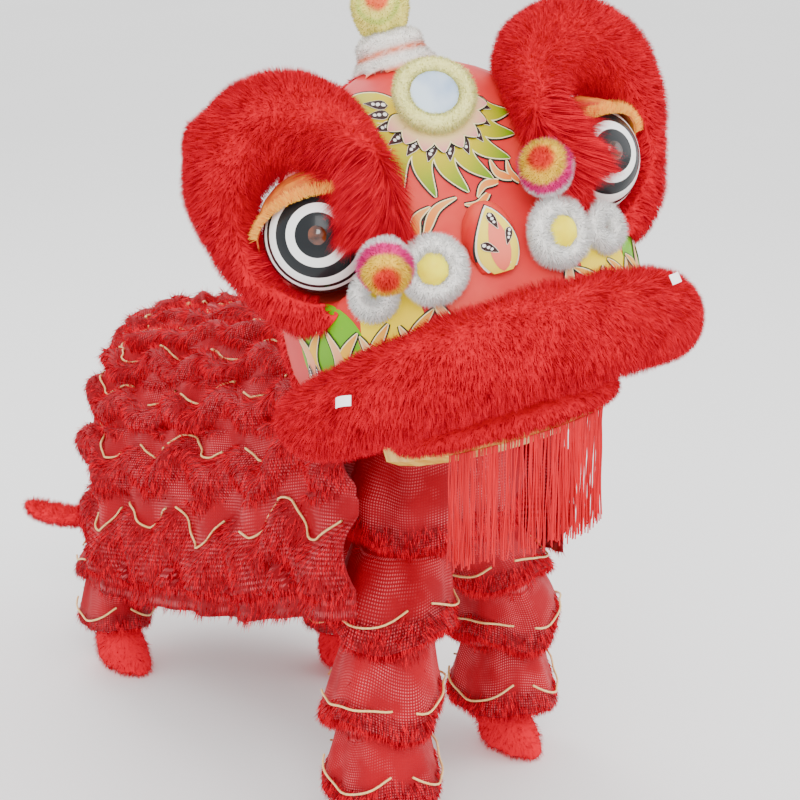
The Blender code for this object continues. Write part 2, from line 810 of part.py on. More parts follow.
jaw = add_object("jaw_board", loft(jaw_rings()), gold_paint)
jaw_form = add_object("jaw_form", loft(jaw_rings()))
boolean(jaw, add_object("jaw_tray", loft(jaw_rings(JAW_WALL))))
for side in (-1, 1):
    middle = side * JAW_LUG_SPREAD
    half = JAW_LUG_WIDTH / 2
    arm = bmesh.new()
    bmesh.ops.create_cube(arm, size=1.0)
    foot = JAW_RIM_TOP - JAW_DEPTH * 0.5
    bmesh.ops.scale(arm, verts=arm.verts, vec=(JAW_LUG_WIDTH, JAW_LUG_RADIUS * JAW_ARM_DEPTH, -foot))
    bmesh.ops.translate(arm, verts=arm.verts, vec=(middle, 0, foot / 2))
    boolean(jaw, add_object(f"jaw_arm_{side}", arm), "UNION")
    lug = rod((middle - half, 0, 0), (middle + half, 0, 0), JAW_LUG_RADIUS, BAR_SIDES)
    boolean(jaw, add_object(f"jaw_lug_{side}", lug), "UNION")
    bore = rod((middle - half * 2, 0, 0), (middle + half * 2, 0, 0), BAR_RADIUS + LOOSE_GAP, BAR_SIDES)
    boolean(jaw, add_object(f"jaw_bore_{side}", bore))
settle(jaw)


def add_jaw_lip():
    rings = []
    for i in range(JAW_LIP_STATIONS):
        share = 2 * i / (JAW_LIP_STATIONS - 1) - 1
        angle = math.radians(JAW_LIP_SWEEP) * share
        centre = Vector((JAW_HALF_WIDTH * math.sin(angle), -JAW_FRONT * math.cos(angle), JAW_RIM_TOP))
        out = Vector((math.sin(angle) / JAW_HALF_WIDTH, -math.cos(angle) / JAW_FRONT, 0)).normalized()
        size = JAW_LIP_ROLL * (JAW_LIP_ENDS + (1 - JAW_LIP_ENDS) * (1 - abs(share) ** JAW_LIP_POWER) ** 0.5)
        ring = []
        for k in range(6):
            swing = 2 * math.pi * k / 6
            lock = 1 + TUFT * (1 if (i + k) % 2 else -1)
            ring.append(centre + out * size * (JAW_LIP_ENDS + lock * math.cos(swing))
                        + Vector((0, 0, size * lock * math.sin(swing))))
        rings.append(ring)
    return add_object("jaw_lip_fur", loft(rings), red_fur)


fit(add_jaw_lip(), jaw_form)


# Beard: strips hanging straight down from a tape round the front of the jaw
def add_beard():
    down = head_turn.inverted() @ Vector((0, 0, -1))
    tape_top = JAW_RIM_TOP - JAW_LIP_ROLL * (1 + TUFT) - LOOSE_GAP
    cells = 2 * BEARD_STRIPS - 1
    bm = bmesh.new()
    rows = []
    for i in range(cells + 1):
        share = 2 * i / cells - 1
        angle = math.radians(BEARD_SWEEP) * share
        out = Vector((math.sin(angle) / JAW_HALF_WIDTH, -math.cos(angle) / JAW_FRONT, 0)).normalized()
        inner = Vector((JAW_HALF_WIDTH * math.sin(angle), -JAW_FRONT * math.cos(angle), tape_top))
        inner += out * SEAT_GAP
        outer = inner + out * BEARD_THICK
        drop = Vector((0, 0, -BEARD_TAPE))
        rows.append([bm.verts.new(p) for p in (inner, outer, outer + drop, inner + drop)])
    for low, high in zip(rows, rows[1:]):
        for k in range(4):
            bm.faces.new((low[k], low[(k + 1) % 4], high[(k + 1) % 4], high[k]))
    bm.faces.new(rows[0])
    bm.faces.new(list(reversed(rows[-1])))
    bm.normal_update()
    undersides = [f for f in bm.faces if len(f.verts) == 4 and f.normal.z < -0.9]
    undersides.sort(key=lambda f: f.calc_center_median().x)
    for count, face in enumerate(undersides[::2]):
        length = BEARD_LENGTH * (0.93 + 0.07 * math.cos(count * 2.3))
        face = bmesh.ops.extrude_discrete_faces(bm, faces=[face])["faces"][0]
        bmesh.ops.translate(bm, verts=face.verts, vec=down * length)
    return add_object("beard_strings", bm, red_string)


add_beard()


# Body drape: an arch over the back, closed at the rump, in tiers of flounces
def along_rows(rows, distance, name):
    """Read a named column of the drape's table at a distance, straight between its rows."""
    column = DRAPE_COLUMNS.index(name)
    if distance <= rows[0][0]:
        return rows[0][column]
    for low, high in zip(rows, rows[1:]):
        if distance <= high[0]:
            share = (distance - low[0]) / (high[0] - low[0])
            return low[column] + (high[column] - low[column]) * share
    return rows[-1][column]


def drape_point(column, level, out):
    """A point of the drape: column runs round the plan, level from hem (0) to spine (1)."""
    power = 2.0 / DRAPE_SQUARENESS
    lean = math.radians(90) * level
    spread = max(math.cos(lean), 0.0) ** power
    rise = math.sin(lean) ** power
    side = -1 if column < 0 else 1
    step = abs(column)
    if step > DRAPE_RUMP_COLUMNS:
        share = (step - DRAPE_RUMP_COLUMNS) / DRAPE_SIDE_COLUMNS
        front = DRAPE_FRONT_HEM + (DRAPE_FRONT_TOP - DRAPE_FRONT_HEM) * min(level * FRONT_EDGE_SLOPE, 1.0)
        along = DRAPE_SPINE_END - (DRAPE_SPINE_END - front) * share
        heading = Vector((side, 0, 0))
    else:
        swing = math.radians(90) * step / DRAPE_RUMP_COLUMNS
        along = DRAPE_SPINE_END
        heading = Vector((side * math.sin(swing), math.cos(swing), 0))
    half_width = DRAPE_HALF_WIDTH * along_rows(DRAPE_ROWS, along, "width")
    top = DRAPE_TOP * along_rows(DRAPE_ROWS, along, "top")
    hem = DRAPE_HEM * along_rows(DRAPE_ROWS, along, "hem")
    reach = Vector((heading.x * half_width, heading.y * DRAPE_RUMP, 0)) * spread
    point = Vector((DRAPE_CENTRE, along, hem + (top - hem) * rise - FLOOR_DROP)) + reach
    return point + heading * out * spread + Vector((0, 0, out * rise * OUT_LIFT))


def add_drape():
    columns = DRAPE_RUMP_COLUMNS + DRAPE_SIDE_COLUMNS
    levels = []
    for tier in range(DRAPE_TIERS):
        levels.append((tier / DRAPE_TIERS, 0.0))
        levels.append(((tier + FLOUNCE_EDGE) / DRAPE_TIERS, 1.0))
    levels.append((1.0, 0.0))
    bm = bmesh.new()
    grid = []
    for row, (level, flounce) in enumerate(levels):
        line = []
        for column in range(-columns, columns + 1):
            wave = 1 if column % 2 else -1
            shift = SCALLOP_SHARE / DRAPE_TIERS * wave * (0 < level < 1)
            out = FLOUNCE_DEPTH * flounce + GATHER_DEPTH * wave * (level < 1)
            line.append(bm.verts.new(drape_point(column, level + shift * (1 - level), out)))
        grid.append(line)
    for low, high in zip(grid, grid[1:]):
        for i in range(len(low) - 1):
            bm.faces.new((low[i], low[i + 1], high[i + 1], high[i]))
    bmesh.ops.remove_doubles(bm, verts=bm.verts, dist=0.001)
    drape = add_object("body_drape", bm, red_mesh, in_head=False)
    wall = drape.modifiers.new("wall", "SOLIDIFY")
    wall.thickness = DRAPE_WALL
    wall.offset = -1.0
    settle(drape)
    return fit(drape, head_form)


drape = add_drape()


# Tail: a flat furry strip with a round end, sewn to the rump
def add_tail():
    root, tip = Vector(TAIL_ROOT), Vector(TAIL_TIP)
    along = (tip - root).normalized()
    across = Vector((0, 0, 1)).cross(along).normalized()
    up = along.cross(across)
    rings = []
    for i in range(TAIL_STATIONS):
        share = i / (TAIL_STATIONS - 1)
        centre = root.lerp(tip, share) - Vector((0, 0, TAIL_SAG * math.sin(math.pi * share)))
        tip_share = max(0.0, (share - TAIL_ROUND_FROM) / (1 - TAIL_ROUND_FROM))
        width = TAIL_HALF_WIDTH * max(1 - tip_share ** 2, TAIL_BLUNT) ** 0.5
        ring = []
        for k in range(8):
            swing = 2 * math.pi * k / 8
            lock = 1 + 2 * TUFT * (1 if (i + k) % 2 else -1)
            ring.append(centre + across * width * lock * math.cos(swing)
                        + up * TAIL_HALF_THICK * lock * math.sin(swing))
        rings.append(ring)
    return add_object("tail", loft(rings), red_fur, in_head=False)


fit(add_tail(), drape)


# Trousers: two gathered legs joined at the hips, hollow, with an elastic cuff on each sock band
def leg_rings(foot, hip_side, hip, crotch_height, leg_radius, inset, extend):
    """Rings from the cuff up to the hip, set in by the wall for the hollow."""
    _, x, y = foot
    cuff = BAND_RADIUS + SEAT_GAP + LEG_WALL - inset
    rows = [(0.0, cuff)]
    rows += [(up, leg_radius * radius - inset) for up, radius in LEG_ROWS]
    low = CUFF_HEIGHT - FLOOR_DROP
    high = crotch_height - FLOOR_DROP
    rings = []
    for row, (up, radius) in enumerate(rows):
        lean = max(0.0, (up - LEG_LEAN_FROM) / (1 - LEG_LEAN_FROM)) ** LEG_LEAN_POWER
        centre = Vector((x, y, low)).lerp(Vector((hip[0] + hip_side * HIP_SPREAD, hip[1], low)), lean)
        height = low + (high - low) * up
        ring = []
        for k in range(LEG_SIDES):
            swing = 2 * math.pi * k / LEG_SIDES
            wave = (1 if (k + row // 2) % 2 else -1) * (0 if up in (0.0, 1.0) else 1)
            size = radius * (1 + LEG_GATHER * wave)
            ring.append((centre.x + size * math.cos(swing), centre.y + size * math.sin(swing),
                         height + LEG_DROOP * wave))
        rings.append(ring)
    if extend:
        first = [(px, py, pz - extend) for px, py, pz in rings[0]]
        rings.insert(0, first)
    middle = hip[0] + hip_side * HIP_SPREAD * LEG_TOP_INWARD
    top = [(middle + (px - centre.x) * LEG_TOP_TAPER, py, pz + HIP_SPREAD) for px, py, pz in rings[-1]]
    rings.append(top)
    return rings


def hip_rings(hip, crotch_height, waist_height, half_width, inset, extend):
    rings = []
    low = crotch_height - FLOOR_DROP - HIP_LAP
    high = waist_height - FLOOR_DROP
    for share, size in HIP_ROWS:
        height = low + (high - low) * share + (extend if share == 1.0 else 0) + (inset if share == 0 else 0)
        ring = []
        for k in range(HIP_SIDES):
            swing = 2 * math.pi * k / HIP_SIDES
            ring.append((hip[0] + (half_width * size - inset) * math.cos(swing),
                         hip[1] + (HIP_HALF_DEPTH * size - inset) * math.sin(swing), height))
        rings.append(ring)
    return rings


def trouser_form(name, sizes, inset, extend, material=None):
    feet, hip, crotch_height, waist_height, half_width, leg_radius = sizes
    body = loft(hip_rings(hip, crotch_height, waist_height, half_width, inset, extend))
    form = add_object(name, body, material, in_head=False)
    for foot in feet:
        side = -1 if foot[0] == "right" else 1
        leg = loft(leg_rings(foot, side, hip, crotch_height, leg_radius, inset, extend))
        boolean(form, add_object(f"{name}_{foot[0]}", leg, in_head=False), "UNION")
    return settle(form)


def add_trousers(name, *sizes):
    outer = trouser_form(name, sizes, 0.0, 0.0, red_mesh)
    boolean(outer, trouser_form(name + "_hollow", sizes, LEG_WALL, HIP_LAP))
    settle(outer)
    return fit(outer, drape)


add_trousers("front_trousers", FRONT_FEET, FRONT_HIP, FRONT_CROTCH_HEIGHT, FRONT_WAIST_HEIGHT,
             FRONT_HIP_HALF_WIDTH, FRONT_LEG_RADIUS)
add_trousers("rear_trousers", REAR_FEET, REAR_HIP, REAR_CROTCH_HEIGHT, REAR_WAIST_HEIGHT,
             REAR_HIP_HALF_WIDTH, REAR_LEG_RADIUS)


# Sock bands and fur shoe covers
def band_form(x, y, outer, low, high):
    """A plain tube body with as many sides as a trouser cuff, so the two nest."""
    rings = []
    for height in (low, high):
        turns = [2 * math.pi * k / LEG_SIDES for k in range(LEG_SIDES)]
        rings.append([(x + outer * math.cos(a), y + outer * math.sin(a), height - FLOOR_DROP) for a in turns])
    return loft(rings)


def shoe_rings(x, y, inset, low, high):
    rings = []
    for share, size in SHOE_ROWS:
        ring = []
        for k in range(SHOE_SIDES):
            swing = 2 * math.pi * k / SHOE_SIDES
            lock = 1 + (SHOE_TUFT * (1 if k % 2 else -1) if not inset else 0)
            half_width = SHOE_HALF_WIDTH * size * lock - inset
            half_length = SHOE_HALF_LENGTH * size * lock * (1 - SHOE_TOP_TAPER * share) - inset
            ring.append((x + half_width * math.cos(swing),
                         y - SHOE_TOE * (1 - share) + half_length * math.sin(swing),
                         low + (high - low) * share - FLOOR_DROP))
        rings.append(ring)
    return rings


for end, feet in (("front", FRONT_FEET), ("rear", REAR_FEET)):
    for side, x, y in feet:
        band = add_object(f"{end}_{side}_ankle_band",
                          band_form(x, y, BAND_RADIUS, BAND_BOTTOM, BAND_TOP), white_cloth, in_head=False)
        core = band_form(x, y, BAND_RADIUS - BAND_WALL, BAND_BOTTOM - CUT_PAST, BAND_TOP + CUT_PAST)
        boolean(band, add_object(f"{end}_{side}_band_core", core, in_head=False))
        settle(band)
        shoe = add_object(f"{end}_{side}_shoe_cover", loft(shoe_rings(x, y, 0, 0, SHOE_HEIGHT)),
                          red_fur, in_head=False)
        inside = loft(shoe_rings(x, y, SHOE_WALL, SHOE_WALL, SHOE_HEIGHT - SHOE_WALL))
        boolean(shoe, add_object(f"{end}_{side}_shoe_inside", inside, in_head=False))
        throat = band_form(x, y, BAND_RADIUS + SEAT_GAP, BAND_BOTTOM - SHOE_WALL, SHOE_HEIGHT + SHOE_WALL)
        boolean(shoe, add_object(f"{end}_{side}_shoe_throat", throat, in_head=False))
        settle(shoe, largest_only=True)
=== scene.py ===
import math

import bpy
import numpy as np
from mathutils import Euler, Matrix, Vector
from mathutils.bvhtree import BVHTree


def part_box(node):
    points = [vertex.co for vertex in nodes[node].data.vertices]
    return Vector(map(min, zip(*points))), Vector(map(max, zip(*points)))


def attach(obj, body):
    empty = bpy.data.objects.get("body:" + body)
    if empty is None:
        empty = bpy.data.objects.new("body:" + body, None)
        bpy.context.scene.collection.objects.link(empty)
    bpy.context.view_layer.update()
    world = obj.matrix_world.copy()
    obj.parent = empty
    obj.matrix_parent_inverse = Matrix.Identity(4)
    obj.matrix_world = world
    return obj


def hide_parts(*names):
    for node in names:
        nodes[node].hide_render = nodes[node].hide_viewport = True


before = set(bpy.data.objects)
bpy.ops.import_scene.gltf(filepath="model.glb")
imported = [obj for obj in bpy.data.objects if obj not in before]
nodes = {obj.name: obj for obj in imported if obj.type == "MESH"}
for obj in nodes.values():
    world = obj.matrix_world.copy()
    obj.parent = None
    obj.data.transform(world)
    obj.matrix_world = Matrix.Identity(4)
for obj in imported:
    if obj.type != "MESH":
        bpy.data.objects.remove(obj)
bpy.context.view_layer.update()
random = np.random.default_rng(11)

# Pose of the head, as the frame has it
headTurn = np.array(Euler((math.radians(-17.3), math.radians(-12.1), math.radians(-23.8)), "YXZ").to_matrix())
floorLevel = -1.10
sides = {"right": -1, "left": 1}


# Points from the head's own axes to the frame's.
def inHead(points):
    return np.asarray(points, float) @ headTurn.T


# Points from the frame's axes to the head's own.
def toHead(points):
    return np.asarray(points, float) @ headTurn


def unit(vectors):
    size = np.linalg.norm(vectors, axis=-1, keepdims=True)
    return vectors / np.maximum(size, 1e-9)


def smoothStep(values, low, high):
    share = np.clip((values - low) / (high - low), 0, 1)
    return share * share * (3 - 2 * share)


# A cheap smooth noise from crossed waves, about -1 to 1.
def ripple(points, scale, seed=0.0):
    p = np.asarray(points, float) * scale + seed
    x, y, z = p[..., 0], p[..., 1], p[..., 2]
    first = np.sin(x * 1.7 + 2.1 * np.sin(y * 1.3 + z))
    second = np.sin(y * 2.3 + 1.7 * np.sin(z * 1.1 - x))
    third = np.sin(z * 1.9 + 1.3 * np.sin(x * 1.6 + y))
    return (first + second + third) / 3


# A shader value that can be used in sums.
class Wire:
    def __init__(self, tree, socket):
        self.tree = tree
        self.socket = socket

    def node(self, kind, inputs=(), output=0, **settings):
        made = self.tree.nodes.new(kind)
        for name, value in settings.items():
            setattr(made, name, value)
        for key, value in dict(inputs).items():
            if isinstance(value, Wire):
                self.tree.links.new(value.socket, made.inputs[key])
            elif value is not None:
                made.inputs[key].default_value = value
        return Wire(self.tree, made.outputs[output])

    def sum(self, operation, *others):
        values = (self, *others)
        return self.node("ShaderNodeMath", {i: v for i, v in enumerate(values)}, operation=operation)

    def __add__(self, other):
        return self.sum("ADD", other)

    def __sub__(self, other):
        return self.sum("SUBTRACT", other)

    def __mul__(self, other):
        return self.sum("MULTIPLY", other)

    def __truediv__(self, other):
        return self.sum("DIVIDE", other)

    def __rsub__(self, other):
        return self.node("ShaderNodeMath", {0: other, 1: self}, operation="SUBTRACT")

    __radd__ = __add__
    __rmul__ = __mul__

    def ramp(self, stops, constant=False):
        made = self.tree.nodes.new("ShaderNodeValToRGB")
        made.color_ramp.interpolation = "CONSTANT" if constant else "LINEAR"
        elements = made.color_ramp.elements
        while len(elements) < len(stops):
            elements.new(1.0)
        for element, (position, colour) in zip(elements, stops):
            element.position = position
            element.color = (*colour, 1.0)
        self.tree.links.new(self.socket, made.inputs[0])
        return Wire(self.tree, made.outputs[0])

    # This colour where factor is 0, and the other where it is 1.
    def blendTo(self, factor, other):
        made = self.tree.nodes.new("ShaderNodeMix")
        made.data_type = "RGBA"
        self.tree.links.new(factor.socket, made.inputs[0])
        for index, value in ((6, self), (7, other)):
            if isinstance(value, Wire):
                self.tree.links.new(value.socket, made.inputs[index])
            else:
                made.inputs[index].default_value = (*value, 1.0)
        return Wire(self.tree, made.outputs[2])


# Four-sided faces over rows of points; closed joins each row's ends.
def gridFaces(rows, columns, closed=False):
    a = np.arange(rows - 1)[:, None] * columns
    b = np.arange(columns if closed else columns - 1)[None, :]
    c = (b + 1) % columns
    return np.stack([a + b, a + c, a + columns + c, a + columns + b], -1).reshape(-1, 4)


# A material whose base colour, and bump if there is one, come from paint(start); where an emission strength
# is given, the same colour also glows as painted light.
def look(name, paint, roughness, **constants):
    material = bpy.data.materials.new(name)
    material.use_nodes = True
    tree = material.node_tree
    shader = tree.nodes["Principled BSDF"]
    shader.inputs["Roughness"].default_value = roughness
    for key, value in constants.items():
        shader.inputs[key.replace("_", " ")].default_value = value
    start = Wire(tree, tree.nodes.new("ShaderNodeTexCoord").outputs["Object"])
    painted = paint(start)
    colour, bump = painted if isinstance(painted, tuple) else (painted, None)
    tree.links.new(colour.socket, shader.inputs["Base Color"])
    # The base colour also glows here: painted light.
    if shader.inputs["Emission Strength"].default_value > 0:
        tree.links.new(colour.socket, shader.inputs["Emission Color"])
    if bump is not None:
        height, strength, distance = bump
        normal = start.node("ShaderNodeBump", {"Strength": strength, "Distance": distance, "Height": height})
        tree.links.new(normal.socket, shader.inputs["Normal"])
    return material


def tinted(start):
    return start.node("ShaderNodeAttribute", attribute_name="tint")


# A new object from arrays; faces is a list of arrays of equal-sided faces.
def makeMesh(name, points, faces, tints=None, material=None, uvs=None):
    points = np.asarray(points, np.float32)
    faces = [np.asarray(f, np.int32) for f in faces if len(f)]
    loops = np.concatenate([f.ravel() for f in faces])
    totals = np.concatenate([np.full(len(f), f.shape[1], np.int32) for f in faces])
    starts = np.concatenate([[0], np.cumsum(totals)[:-1]]).astype(np.int32)
    mesh = bpy.data.meshes.new(name)
    mesh.vertices.add(len(points))
    mesh.vertices.foreach_set("co", points.ravel())
    mesh.loops.add(len(loops))
    mesh.loops.foreach_set("vertex_index", loops)
    mesh.polygons.add(len(totals))
    mesh.polygons.foreach_set("loop_start", starts)
    mesh.polygons.foreach_set("loop_total", totals)
    mesh.polygons.foreach_set("use_smooth", np.full(len(totals), True))
    mesh.update(calc_edges=True)
    if tints is not None:
        colours = np.ones((len(points), 4), np.float32)
        colours[:, :3] = tints
        layer = mesh.color_attributes.new("tint", "FLOAT_COLOR", "POINT")
        layer.data.foreach_set("color", colours.ravel())
    if uvs is not None:
        layer = mesh.uv_layers.new(name="weave")
        layer.data.foreach_set("uv", np.asarray(uvs, np.float32)[loops].ravel())
    if material:
        mesh.materials.append(material)
    piece = bpy.data.objects.new(name, mesh)
    bpy.context.scene.collection.objects.link(piece)
    return piece


def place(piece, body, slotName, *replaced):
    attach(piece, body)
    if replaced:
        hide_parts(*replaced)
    return piece


# The form of a CAD node as smooth arrays: points, triangles and normals.
def rounded(nodeName, levels=1, passes=6):
    copy = bpy.data.objects.new("copy", nodes[nodeName].data.copy())
    bpy.context.scene.collection.objects.link(copy)
    weld = copy.modifiers.new("weld", "WELD")
    weld.merge_threshold = 0.00002
    fine = copy.modifiers.new("fine", "SUBSURF")
    fine.levels = levels
    soft = copy.modifiers.new("soft", "SMOOTH")
    soft.factor = 0.5
    soft.iterations = passes
    copy.modifiers.new("triangles", "TRIANGULATE")
    made = copy.evaluated_get(bpy.context.evaluated_depsgraph_get())
    mesh = bpy.data.meshes.new_from_object(made)
    points = np.zeros(len(mesh.vertices) * 3)
    mesh.vertices.foreach_get("co", points)
    normals = np.zeros(len(mesh.vertices) * 3)
    mesh.vertices.foreach_get("normal", normals)
    triangles = np.zeros(len(mesh.polygons) * 3, np.int32)
    mesh.polygons.foreach_get("vertices", triangles)
    bpy.data.objects.remove(copy)
    return points.reshape(-1, 3), triangles.reshape(-1, 3), normals.reshape(-1, 3)


# Random places on triangles by area, with their normals.
def scatter(points, triangles, normals, count, keep=None):
    corners = points[triangles]
    areas = np.linalg.norm(np.cross(corners[:, 1] - corners[:, 0], corners[:, 2] - corners[:, 0]), axis=1)
    if keep is not None:
        areas = areas * keep
    chosen = random.choice(len(triangles), count, p=areas / areas.sum())
    a, b = random.random(count), random.random(count)
    flip = a + b > 1
    a[flip], b[flip] = 1 - a[flip], 1 - b[flip]
    shares = np.stack([1 - a - b, a, b], 1)
    spots = np.einsum("nk,nkd->nd", shares, corners[chosen])
    facing = unit(np.einsum("nk,nkd->nd", shares, normals[triangles[chosen]]))
    return spots, facing


# Arrays of tapered hairs: points, faces, colours and normals.
def strands(spots, facing, style, tints):
    count = len(spots)
    comb = np.broadcast_to(np.asarray(style["comb"], float), (count, 3))
    comb = comb - facing * np.einsum("nd,nd->n", comb, facing)[:, None]
    clump = np.stack([ripple(spots, style["clump"], s) for s in (0.0, 5.0, 9.0)], 1) * style["tuft"]
    heading = unit(facing * style["lift"] + comb + clump + random.normal(0, style["wild"], (count, 3)))
    size = np.asarray(style["length"]) * random.uniform(0.7, 1.12, count)
    size = size * (1 + 0.22 * ripple(spots, style["clump"] * 0.6, 3.0))
    size = size[:, None]
    heading = unit(heading + comb * 0.25 - np.array([0, 0, style["droop"] * 0.5]))
    side = unit(np.cross(heading, unit(random.normal(0, 1, (count, 3))))) * style["width"] / 2
    root = spots - facing * 0.002
    points = np.stack([root - side, root + side, root + heading * size], 1)
    # Roots are painted darker and tips brighter: painted shade at the roots, painted highlight at the tips.
    shade = np.array([style["rootShade"], style["rootShade"], 1.10])[None, :, None]
    mood = 1 + random.normal(0, 0.06, (count, 1)) + 0.08 * ripple(spots, style["clump"], 1.0)[:, None]
    colours = np.clip(tints[:, None, :] * shade * mood[:, None], 0, 1)
    normals = unit(facing + random.normal(0, style["fuzz"], (count, 3)) + heading * 0.25)
    normals = np.repeat(normals[:, None], 3, 1)
    faces = np.arange(count * 3).reshape(-1, 3)
    return points.reshape(-1, 3), faces, colours.reshape(-1, 3), normals.reshape(-1, 3)


# One object: a closed pile surface with hairs on it.
def furPiece(name, surface, spotsFacing, tints, style, baseTints):
    points, triangles, normals = surface
    hairPoints, hairFaces, hairTints, hairNormals = strands(*spotsFacing, style, tints)
    shift = len(points)
    allPoints = np.concatenate([points, hairPoints])
    allTints = np.concatenate([np.broadcast_to(baseTints, points.shape), hairTints])
    allNormals = np.concatenate([normals, hairNormals])
    piece = makeMesh(name, allPoints, [triangles, hairFaces + shift], allTints, hair)
    piece.data.normals_split_custom_set_from_vertices(unit(allNormals).astype(float))
    return piece


# Hairs of one colour that stand on a surface of another piece.
def loosePile(name, spots, facing, style, tint):
    tints = np.broadcast_to(np.array(tint), spots.shape)
    points, faces, colours, normals = strands(spots, facing, style, tints)
    piece = makeMesh(name, points, [faces], colours, hair)
    piece.data.normals_split_custom_set_from_vertices(normals.astype(float))
    return place(piece, "head", "red_fur")


redFur = {
    "tint": (0.76, 0.0, 0.022), "comb": (0, 0, -0.5), "lift": 0.8, "clump": 46.0, "tuft": 0.20,
    "wild": 0.13, "length": 0.017, "droop": 0.35, "width": 0.0013, "rootShade": 0.86, "fuzz": 0.20,
}
whiteFur = {
    "tint": (0.98, 0.95, 0.91), "comb": (0, 0, -0.1), "lift": 1.0, "clump": 60.0, "tuft": 0.14,
    "wild": 0.16, "length": 0.010, "droop": 0.10, "width": 0.0011, "rootShade": 0.92, "fuzz": 0.20,
}
# The hair glows a little in its own colour: painted light that brightens and flattens the fur.
hair = look("hair", tinted, 0.9, Emission_Strength=0.26, Specular_IOR_Level=0.08)


def nodeTree(nodeName):
    mesh = nodes[nodeName].data
    return BVHTree.FromPolygons([v.co for v in mesh.vertices], [p.vertices for p in mesh.polygons])


shellSurface = rounded("head_shell", 1, 2)
shellTree = BVHTree.FromPolygons(shellSurface[0].tolist(), shellSurface[1].tolist())


seatGap = 0.006


# Which spots are further than the distance from a surface.
def clearOf(tree, spots, distance):
    return np.array([tree.find_nearest(Vector(s))[3] > distance for s in spots])


# Fur on the form of a CAD node, bare where it is seated on the shell.
def furNode(name, nodeName, body, slotName, style, count,
            tintAt=None, levels=1, passes=6, clear=seatGap, comb=None):
    surface = rounded(nodeName, levels, passes)
    spots, facing = scatter(*surface, count)
    if clear:
        free = clearOf(shellTree, spots, clear)
        spots, facing = spots[free], facing[free]
    style = dict(style)
    if comb is not None:
        style["comb"], style["length"] = comb(spots)
    tints = np.broadcast_to(np.array(style["tint"]), spots.shape)
    # The pile surface under the hairs is painted at the roots' darkness: painted shade.
    base = np.array(style["tint"]) * style["rootShade"]
    if tintAt:
        tints = tintAt(spots)
        base = tintAt(surface[0]) * style["rootShade"]
    piece = furPiece(name, surface, (spots, facing), tints, style, base)
    return place(piece, body, slotName, nodeName)


# Red fur of the head
eyeAt = {"right": (-0.246, -0.175, 0.247), "left": (0.246, -0.175, 0.247)}
for side, sign in sides.items():
    # Combed outward and down, but over the eye from its inner side; also gives the lengths
    def browComb(spots, sign=sign, side=side):
        away = toHead(spots) - np.array(eyeAt[side])
        flat = np.stack([-sign * away[:, 0], away[:, 2]], 1)
        reach = np.linalg.norm(flat, axis=1)
        inner = smoothStep(flat @ np.array([0.80, 0.60]) / reach, 0.35, 0.85)
        near = 1 - smoothStep(reach, 0.125, 0.165)
        inner = (inner * near * smoothStep(-away[:, 1], -0.02, 0.04))[:, None]
        over = inHead(np.array([sign * 0.90, 0.10, -0.45]))
        outer = smoothStep(flat @ np.array([-0.90, 0.45]) / reach, 0.45, 0.80)
        outer = outer * (1 - smoothStep(reach, 0.120, 0.150))
        outer = outer[:, None] * (1 - inner)
        plain = inHead(unit(away)) * 0.35 + np.array([0, 0, -0.35])
        comb = plain * (1 - inner - outer) + over * inner * 2.6
        comb = comb - inHead(unit(away)) * outer * 1.6
        return comb, 0.020 * (1 + 2.6 * inner[:, 0] + 0.9 * outer[:, 0])

    furNode(f"brow_{side}", f"brow_fur_{side}", "head", "red_fur", redFur, 80000,
            comb=browComb, levels=2, passes=10)
    furNode(f"ear_tuft_{side}", f"ear_{side}", "head", "red_fur", redFur, 8000)
print("brows")
furNode("lip", "upper_lip_fur", "head", "red_fur", redFur | {"length": 0.020}, 110000, levels=2, passes=8)
furNode("jaw_fringe", "jaw_lip_fur", "jaw", "red_fur", redFur | {"length": 0.016}, 15000)
print("lips")

# Fur over the back of the head, behind the brows
shellPoints, shellFaces, shellNormals = shellSurface
middles = toHead(shellPoints[shellFaces].mean(1))
outward = (toHead(shellNormals[shellFaces].mean(1)) * (middles - np.array([0, 0.0, 0.15]))).sum(1) > 0
behind = smoothStep(middles[:, 1], -0.02, 0.0) * outward
spots, facing = scatter(*shellSurface, 66000, behind)
local = toHead(spots)
edge = 0.045 + 0.02 * np.sin(local[:, 2] * 40)
free = (local[:, 1] > edge - 0.05) & clearOf(nodeTree("horn_base_fur"), spots, seatGap)
spots, facing = spots[free], facing[free]
maneStyle = redFur | {"length": 0.021, "lift": 0.6, "comb": (0.0, 0.5, -0.6), "width": 0.0019}
loosePile("mane", spots, facing, maneStyle, redFur["tint"])

# A white cloth tab near each end of the lip
for side, spot in (("right", (-0.285, -0.300, -0.045)), ("left", (0.300, -0.330, 0.010))):
    centre, normal, _, _ = nodeTree("upper_lip_fur").find_nearest(Vector(inHead(spot)))
    centre, normal = np.array(centre), np.array(normal)
    along = unit(np.cross(normal, inHead((0, 0, 1.0))))
    rise = np.cross(along, normal)
    a, b = np.meshgrid(np.linspace(-1, 1, 9), np.linspace(-1, 1, 4))
    arch = 0.017 + 0.006 * (1 - a * a)
    points = centre + along * (a * 0.019)[..., None] + rise * (b * 0.009)[..., None]
    points = (points + normal * arch[..., None]).reshape(-1, 3)
    points = np.concatenate([points, points - normal * 0.001])
    tabFaces = gridFaces(*a.shape)
    tabFaces = [tabFaces, tabFaces[:, ::-1] + a.size]
    tab = makeMesh(f"lip_tab_{side}", points, tabFaces, np.full(points.shape, 0.95), hair)
    place(tab, "head", "white_cloth")

# White and yellow fur
rollFur = whiteFur | {"length": 0.014}
for side in sides:
    furNode(f"nostril_roll_{side}", f"nostril_fur_{side}", "head", "white_fur", rollFur, 12000)
    furNode(f"cheek_tuft_{side}", f"cheek_roll_{side}", "head", "white_fur", rollFur, 8000)
furNode("mirror_roll", "mirror_fur_ring", "head", "yellow_fur",
        whiteFur | {"tint": (0.94, 0.90, 0.36), "length": 0.010}, 12000)

hornAt = np.array([0.0, -0.030, 0.484])


